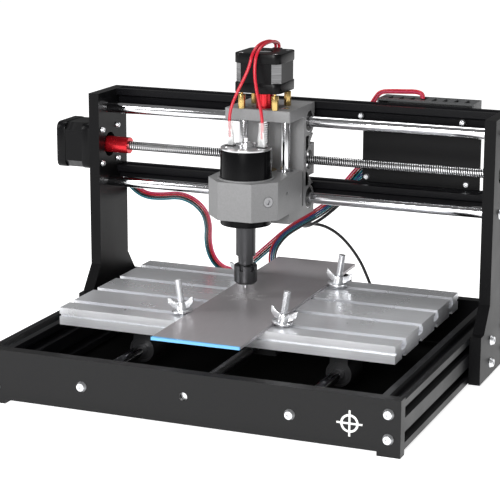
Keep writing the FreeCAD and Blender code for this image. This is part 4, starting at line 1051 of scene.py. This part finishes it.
def line_points(points):
    """The points of the route's own smooth line."""
    guide = route_curve("guide", points)
    bpy.context.view_layer.update()
    mesh = bpy.data.meshes.new_from_object(guide.evaluated_get(bpy.context.evaluated_depsgraph_get()))
    found = [v.co.copy() for v in mesh.vertices]
    bpy.data.meshes.remove(mesh)
    bpy.data.objects.remove(guide)
    kept = [found[0]]
    for point in found[1:]:
        if (point - kept[-1]).length > 1e-6:
            kept.append(point)
    return kept


def line_length(points):
    return sum((b - a).length for a, b in zip(points, points[1:]))


def strand(name, points, thick, finish):
    """One wire that follows points, as a mesh."""
    choose(curve_line(name, points, "POLY", thick, 2)[0])
    bpy.ops.object.convert(target="MESH")
    made = bpy.context.object
    made.name = made.data.name = name
    for face in made.data.polygons:
        face.use_smooth = True
    return coat(made, finish)


def ribbon(name, points, across, finishes, twist=0.0):
    """Wires that lie side by side as a flat cable, its broad side to the front, with a slow twist."""
    wire = across * 0.38
    front = Vector((0.37, -0.9, 0.23))  # the way that the broad side looks
    side = None
    gone = 0.0
    runs = [[] for _ in finishes]
    for index, point in enumerate(points):
        way = (points[min(index + 1, len(points) - 1)] - points[max(index - 1, 0)]).normalized()
        if index:
            gone += (point - points[index - 1]).length
        broad = way.cross(front)
        if side is None:
            side = broad.normalized()
        if broad.length > 0.35:
            broad = broad.normalized() * (1 if broad.dot(side) > 0 else -1)
            side = side.lerp(broad, 0.12)
        side = (side - way * side.dot(way)).normalized()
        spin = Matrix.Rotation(twist * gone, 3, way)
        for number, run in enumerate(runs):
            shift = (number - (len(runs) - 1) / 2) * wire
            run.append(point + spin @ side * shift)
    wires = [strand(name + "_wire", run, wire, finish) for run, finish in zip(runs, finishes)]
    return joined(name, wires)


class ROUTER_OT_cables(bpy.types.Operator):
    """Lay the motor cables, the spindle leads and the data lead with its coil"""
    bl_idname = "router.cables"
    bl_label = "Cables"

    def execute(self, context):
        size = settings("cables")
        self.motor_cable("x_cable", X_MOTOR_ROUTE, size, "x_motor_cable",
                         ("wire_pink", "wire_red", "wire_black", "wire_teal"))
        self.motor_cable("y_cable", Y_MOTOR_ROUTE, size, "y_motor_cable",
                         ("wire_red", "wire_blue", "wire_teal", "wire_black"))
        self.data_lead(size)
        self.carriage_cable(size)
        self.spindle_leads(size)
        return {"FINISHED"}

    def motor_cable(self, name, route, size, node, finishes):
        points = line_points(in_metres(route))
        bundle = ribbon(name, points, size.motor, finishes)
        fit(bundle, "base", "cable_black", node)

    def data_lead(self, size):
        """The lead from the cover to the floor, wound into a neat coil with its connector beside it."""
        low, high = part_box("usb_coil")
        centre = (low + high) / 2
        points = in_metres(DATA_ROUTE)[:-1]
        gap = size.data
        outer = (high.x - low.x) / 2 - gap / 2 - 0.1 * MM
        start = math.radians(-125)
        turns, steps, rows = 11, 14, 3
        for step in range(turns * steps + 1):
            turn = step / steps
            spin = start + 2 * math.pi * turn
            layer = int(turn)
            blend = min(1.0, (turn - layer) * 4)
            here, before = self.seat(layer, rows), self.seat(max(layer - 1, 0), rows)
            column = before[0] + (here[0] - before[0]) * blend
            row = before[1] + (here[1] - before[1]) * blend
            radius = outer - column * gap
            points.append(Vector((centre.x + radius * math.cos(spin), centre.y + radius * math.sin(spin),
                                  gap / 2 + 0.02 * MM + row * gap * 0.97)))
        plug_low, plug_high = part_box("usb_connector")
        points.append(Vector((plug_high.x + 3 * MM, (plug_low.y + plug_high.y) / 2 - 3.0 * MM, 6 * MM)))
        points.append(Vector((plug_high.x - 2 * MM, (plug_low.y + plug_high.y) / 2, 4.2 * MM)))
        lead = route_curve("data_lead", points, size.data)
        lead.data.materials.append(FINISHES["lead_black"])
        fit(lead, "base", "cable_black", "usb_lead", "usb_coil")
        connector = self.connector()
        line_length(line_points(points))

    def seat(self, layer, rows):
        """Column and row of one turn in the coil, filled up and down."""
        column, row = divmod(layer, rows)
        return (column, row if column % 2 == 0 else rows - 1 - row)

    def connector(self):
        """Data connector: moulded grip with a recessed end and a bright metal shell."""
        low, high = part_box("usb_connector")
        neck = high.x - 26 * MM
        grip = block("grip", (neck, low.y, low.z), (high.x, high.y, high.z))
        edit(grip)
        pick(lambda c, n: n.x > 0.9)
        bpy.ops.mesh.inset(thickness=1.6 * MM)
        pull((-0.6 * MM, 0, 0))
        done()
        soften(grip, 1.2 * MM, 3)
        shell = block("shell", (low.x, low.y + 0.5 * MM, 1.7 * MM),
                      (neck + 1 * MM, high.y - 0.5 * MM, 6.3 * MM))
        edit(shell)
        pick(lambda c, n: n.x < -0.9)
        bpy.ops.mesh.inset(thickness=0.5 * MM)
        pull((8 * MM, 0, 0))
        done()
        soften(shell, 0.25 * MM)
        plug = joined("data_connector", [coat(grip, "lead_black"), coat(shell, "zinc")])
        return fit(plug, "base", "cable_black", "usb_connector")

    def carriage_cable(self, size):
        points = line_points(in_metres(CARRIAGE_ROUTE))
        finishes = ("wire_red", "wire_pink", "wire_red")
        bundle = ribbon("z_cable", points, size.motor, finishes, twist=4.0)
        half_tie = 4.4 * MM
        tie = block("cable_tie", (points[0].x - half_tie, 76.5 * MM, 267 * MM),
                    (points[0].x + half_tie, 81 * MM, 274.5 * MM))
        coat(soften(tie, 0.8 * MM, 3), "moulded_black")
        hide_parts("carriage_cable")
        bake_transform(bundle)
        fit(tie, "x_carriage", "cable_black")

    def spindle_leads(self, size):
        for name, route in (("left_lead", LEFT_LEAD_ROUTE), ("right_lead", RIGHT_LEAD_ROUTE)):
            points = line_points(in_metres(route))
            lead = strand(name, points, size.spindle, "wire_red")
            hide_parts("spindle_leads")
            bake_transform(lead)
        self.sleeves()

    def sleeves(self):
        """Clear sleeves over the spade connectors on the spindle's terminals."""
        axis = middle("spindle_end_cap")
        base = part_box("spindle_can")[1].z
        shells, spades = [], []
        for side in (-1, 1):
            foot = Vector((axis.x + side * TERMINAL_OFF, axis.y, 0))
            shell = block("sleeve", foot + Vector((-3.4 * MM, -2 * MM, base + 2.3 * MM)),
                          foot + Vector((3.4 * MM, 2 * MM, base + 23 * MM)))
            edit(shell)
            pick(lambda c, n: abs(n.z) > 0.9)
            bpy.ops.mesh.delete(type="FACE")
            bpy.ops.mesh.select_all(action="SELECT")
            bpy.ops.mesh.subdivide(number_cuts=2)
            pick(lambda c, n: c.z > base + 16 * MM)
            bpy.ops.transform.resize(value=(0.72, 0.9, 1), center_override=(foot.x, foot.y, base + 23 * MM))
            done()
            applied(shell, "Wall", "SOLIDIFY", thickness=0.5 * MM)
            shells.append(soften(shell, 0.25 * MM))
            spade = block("spade", foot + Vector((-2.5 * MM, -0.9 * MM, base + 3.5 * MM)),
                          foot + Vector((2.5 * MM, 0.9 * MM, base + 10.5 * MM)))
            edit(spade)
            pick(lambda c, n: n.z > 0.9)
            pull((0, 0, 5 * MM))
            bpy.ops.transform.resize(value=(0.45, 1, 1))
            done()
            spades.append(soften(spade, 0.25 * MM))
        fit(coat(joined("terminal_sleeves", shells), "clear_sleeve"), "z_slide", "cable_red")
        fit(coat(joined("spade_connectors", spades), "cap_metal"), "z_slide", "screw_steel")


class ROUTER_OT_controller(bpy.types.Operator):
    """Finish the controller's plate, board and vented cover"""
    bl_idname = "router.controller"
    bl_label = "Controller"

    def execute(self, context):
        dress("controller_plate", "controller_plate", 0)
        dress("controller_board", "board", 0.1 * MM)
        dress("controller_cover", "cover_paint", 0)
        return {"FINISHED"}


# ---------------------------------------------------------------- stage
class ROUTER_OT_stage(bpy.types.Operator):
    """Put up the floor, the soft lights and the camera"""
    bl_idname = "router.stage"
    bl_label = "Stage"

    def execute(self, context):
        self.floor()
        self.lights(context.scene)
        self.camera(context.scene)
        return {"FINISHED"}

    def sheet(self, name, grey, glow, shine):
        """The plane just made, in one dull grey, becomes part of the stage."""
        plane = named(name)
        paint = bpy.data.materials.new(name + "_paper")
        paint.use_nodes = True
        shader = paint.node_tree.nodes["Principled BSDF"]
        for socket, value in (("Base Color", (grey, grey, grey, 1)), ("Roughness", 1.0),
                              ("Specular IOR Level", shine), ("Emission Color", (1, 1, 1, 1)),
                              ("Emission Strength", glow)):
            shader.inputs[socket].default_value = value
        plane.data.materials.append(paint)

    def floor(self):
        fresh()
        bpy.ops.mesh.primitive_plane_add(size=14, location=(0, 0, -0.02 * MM))
        self.sheet("floor", 0.90, 0.85, 0.0)
        # The near-black sheet under the base is painted shade.
        self.mat()

    def mat(self):
        """Painted shade: a near-black sheet on the floor under the open base, so that the inside of the base
        looks as dark as deep shadow.
        """
        inset, past_rear = 4 * MM, 3.5 * MM
        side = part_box("base_profiles")[1].x - inset
        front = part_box("front_panel")[1].y + inset
        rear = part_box("rear_panel")[1].y + past_rear
        fresh()
        bpy.ops.mesh.primitive_plane_add(size=1, location=(0, (front + rear) / 2, 0.05 * MM))
        bpy.ops.transform.resize(value=(2 * side, rear - front, 1))
        self.sheet("mat", 0.004, 0.0, 0.05)

    def softbox(self, name, spot, aim, size, power):
        lamp = bpy.data.lights.new(name, "AREA")
        lamp.shape = "RECTANGLE"
        lamp.size, lamp.size_y = size
        lamp.energy = power
        thing = linked(name, lamp)
        thing.location = spot
        thing.rotation_euler = (Vector(aim) - Vector(spot)).to_track_quat("-Z", "Y").to_euler()

    def lights(self, scene):
        world = bpy.data.worlds.new("studio")
        world.use_nodes = True
        tree = world.node_tree
        sky = tree.nodes["Background"]
        sky.inputs["Color"].default_value = (1, 1, 1, 1)
        path = tree.nodes.new("ShaderNodeLightPath")
        level = tree.nodes.new("ShaderNodeMapRange")
        light_on_pieces, seen_by_camera = 0.16, 1.0
        level.inputs["To Min"].default_value = light_on_pieces
        level.inputs["To Max"].default_value = seen_by_camera
        tree.links.new(path.outputs["Is Camera Ray"], level.inputs["Value"])
        tree.links.new(level.outputs["Result"], sky.inputs["Strength"])
        scene.world = world
        centre = (0, 0, 0.12)
        for name, spot, size, power in (("front", (0.25, -2.0, 0.75), (0.9, 0.5), 34),
                                        ("left", (-1.5, -0.9, 0.9), (0.5, 1.0), 12),
                                        ("top", (0.0, 0.5, 1.7), (1.6, 0.5), 14)):
            self.softbox(name, spot, centre, size, power)
        scene.view_settings.view_transform = "Standard"
        scene.view_settings.look = "None"

    def camera(self, scene):
        size = settings("camera")
        azimuth, elevation = math.radians(size.azimuth), math.radians(size.elevation)
        out = Vector((math.sin(azimuth) * math.cos(elevation), -math.cos(azimuth) * math.cos(elevation),
                      math.sin(elevation)))
        lens = bpy.data.cameras.new("camera")
        lens.sensor_width = 36
        lens.lens = size.lens
        lens.clip_start = 0.05
        lens.clip_end = 30
        camera = linked("camera", lens)
        camera.location = Vector(size.aim) + out * size.distance
        turn = (-out).to_track_quat("-Z", "Y")
        roll = Euler((0, 0, math.radians(size.roll))).to_quaternion()
        camera.rotation_euler = (turn @ roll).to_euler()
        scene.camera = camera


# ---------------------------------------------------------------- panel, registering and running
STEPS = (
    ROUTER_OT_finishes, ROUTER_OT_frame, ROUTER_OT_rods, ROUTER_OT_table, ROUTER_OT_carriage,
    ROUTER_OT_lead_screws, ROUTER_OT_clamps, ROUTER_OT_motors, ROUTER_OT_spindle, ROUTER_OT_cables,
    ROUTER_OT_controller, ROUTER_OT_stage,
)


class ROUTER_PT_panel(bpy.types.Panel):
    """Lists the steps that finish the router"""
    bl_idname = "ROUTER_PT_panel"
    bl_label = "Router"
    bl_space_type = "VIEW_3D"
    bl_region_type = "UI"
    bl_category = "Router"

    def draw(self, context):
        for step in STEPS:
            self.layout.operator(step.bl_idname)


def register():
    for group in SETTINGS.values():
        bpy.utils.register_class(group)
    for name, group in SETTINGS.items():
        setattr(bpy.types.Scene, name, PointerProperty(type=group))
    for step in STEPS:
        bpy.utils.register_class(step)
    bpy.utils.register_class(ROUTER_PT_panel)


def unregister():
    bpy.utils.unregister_class(ROUTER_PT_panel)
    for step in reversed(STEPS):
        bpy.utils.unregister_class(step)
    for name, group in reversed(list(SETTINGS.items())):
        delattr(bpy.types.Scene, name)
        bpy.utils.unregister_class(group)


def main():
    register()
    for step in STEPS:
        family, name = step.bl_idname.split(".")
        getattr(getattr(bpy.ops, family), name)()


if __name__ == "__main__":
    main()
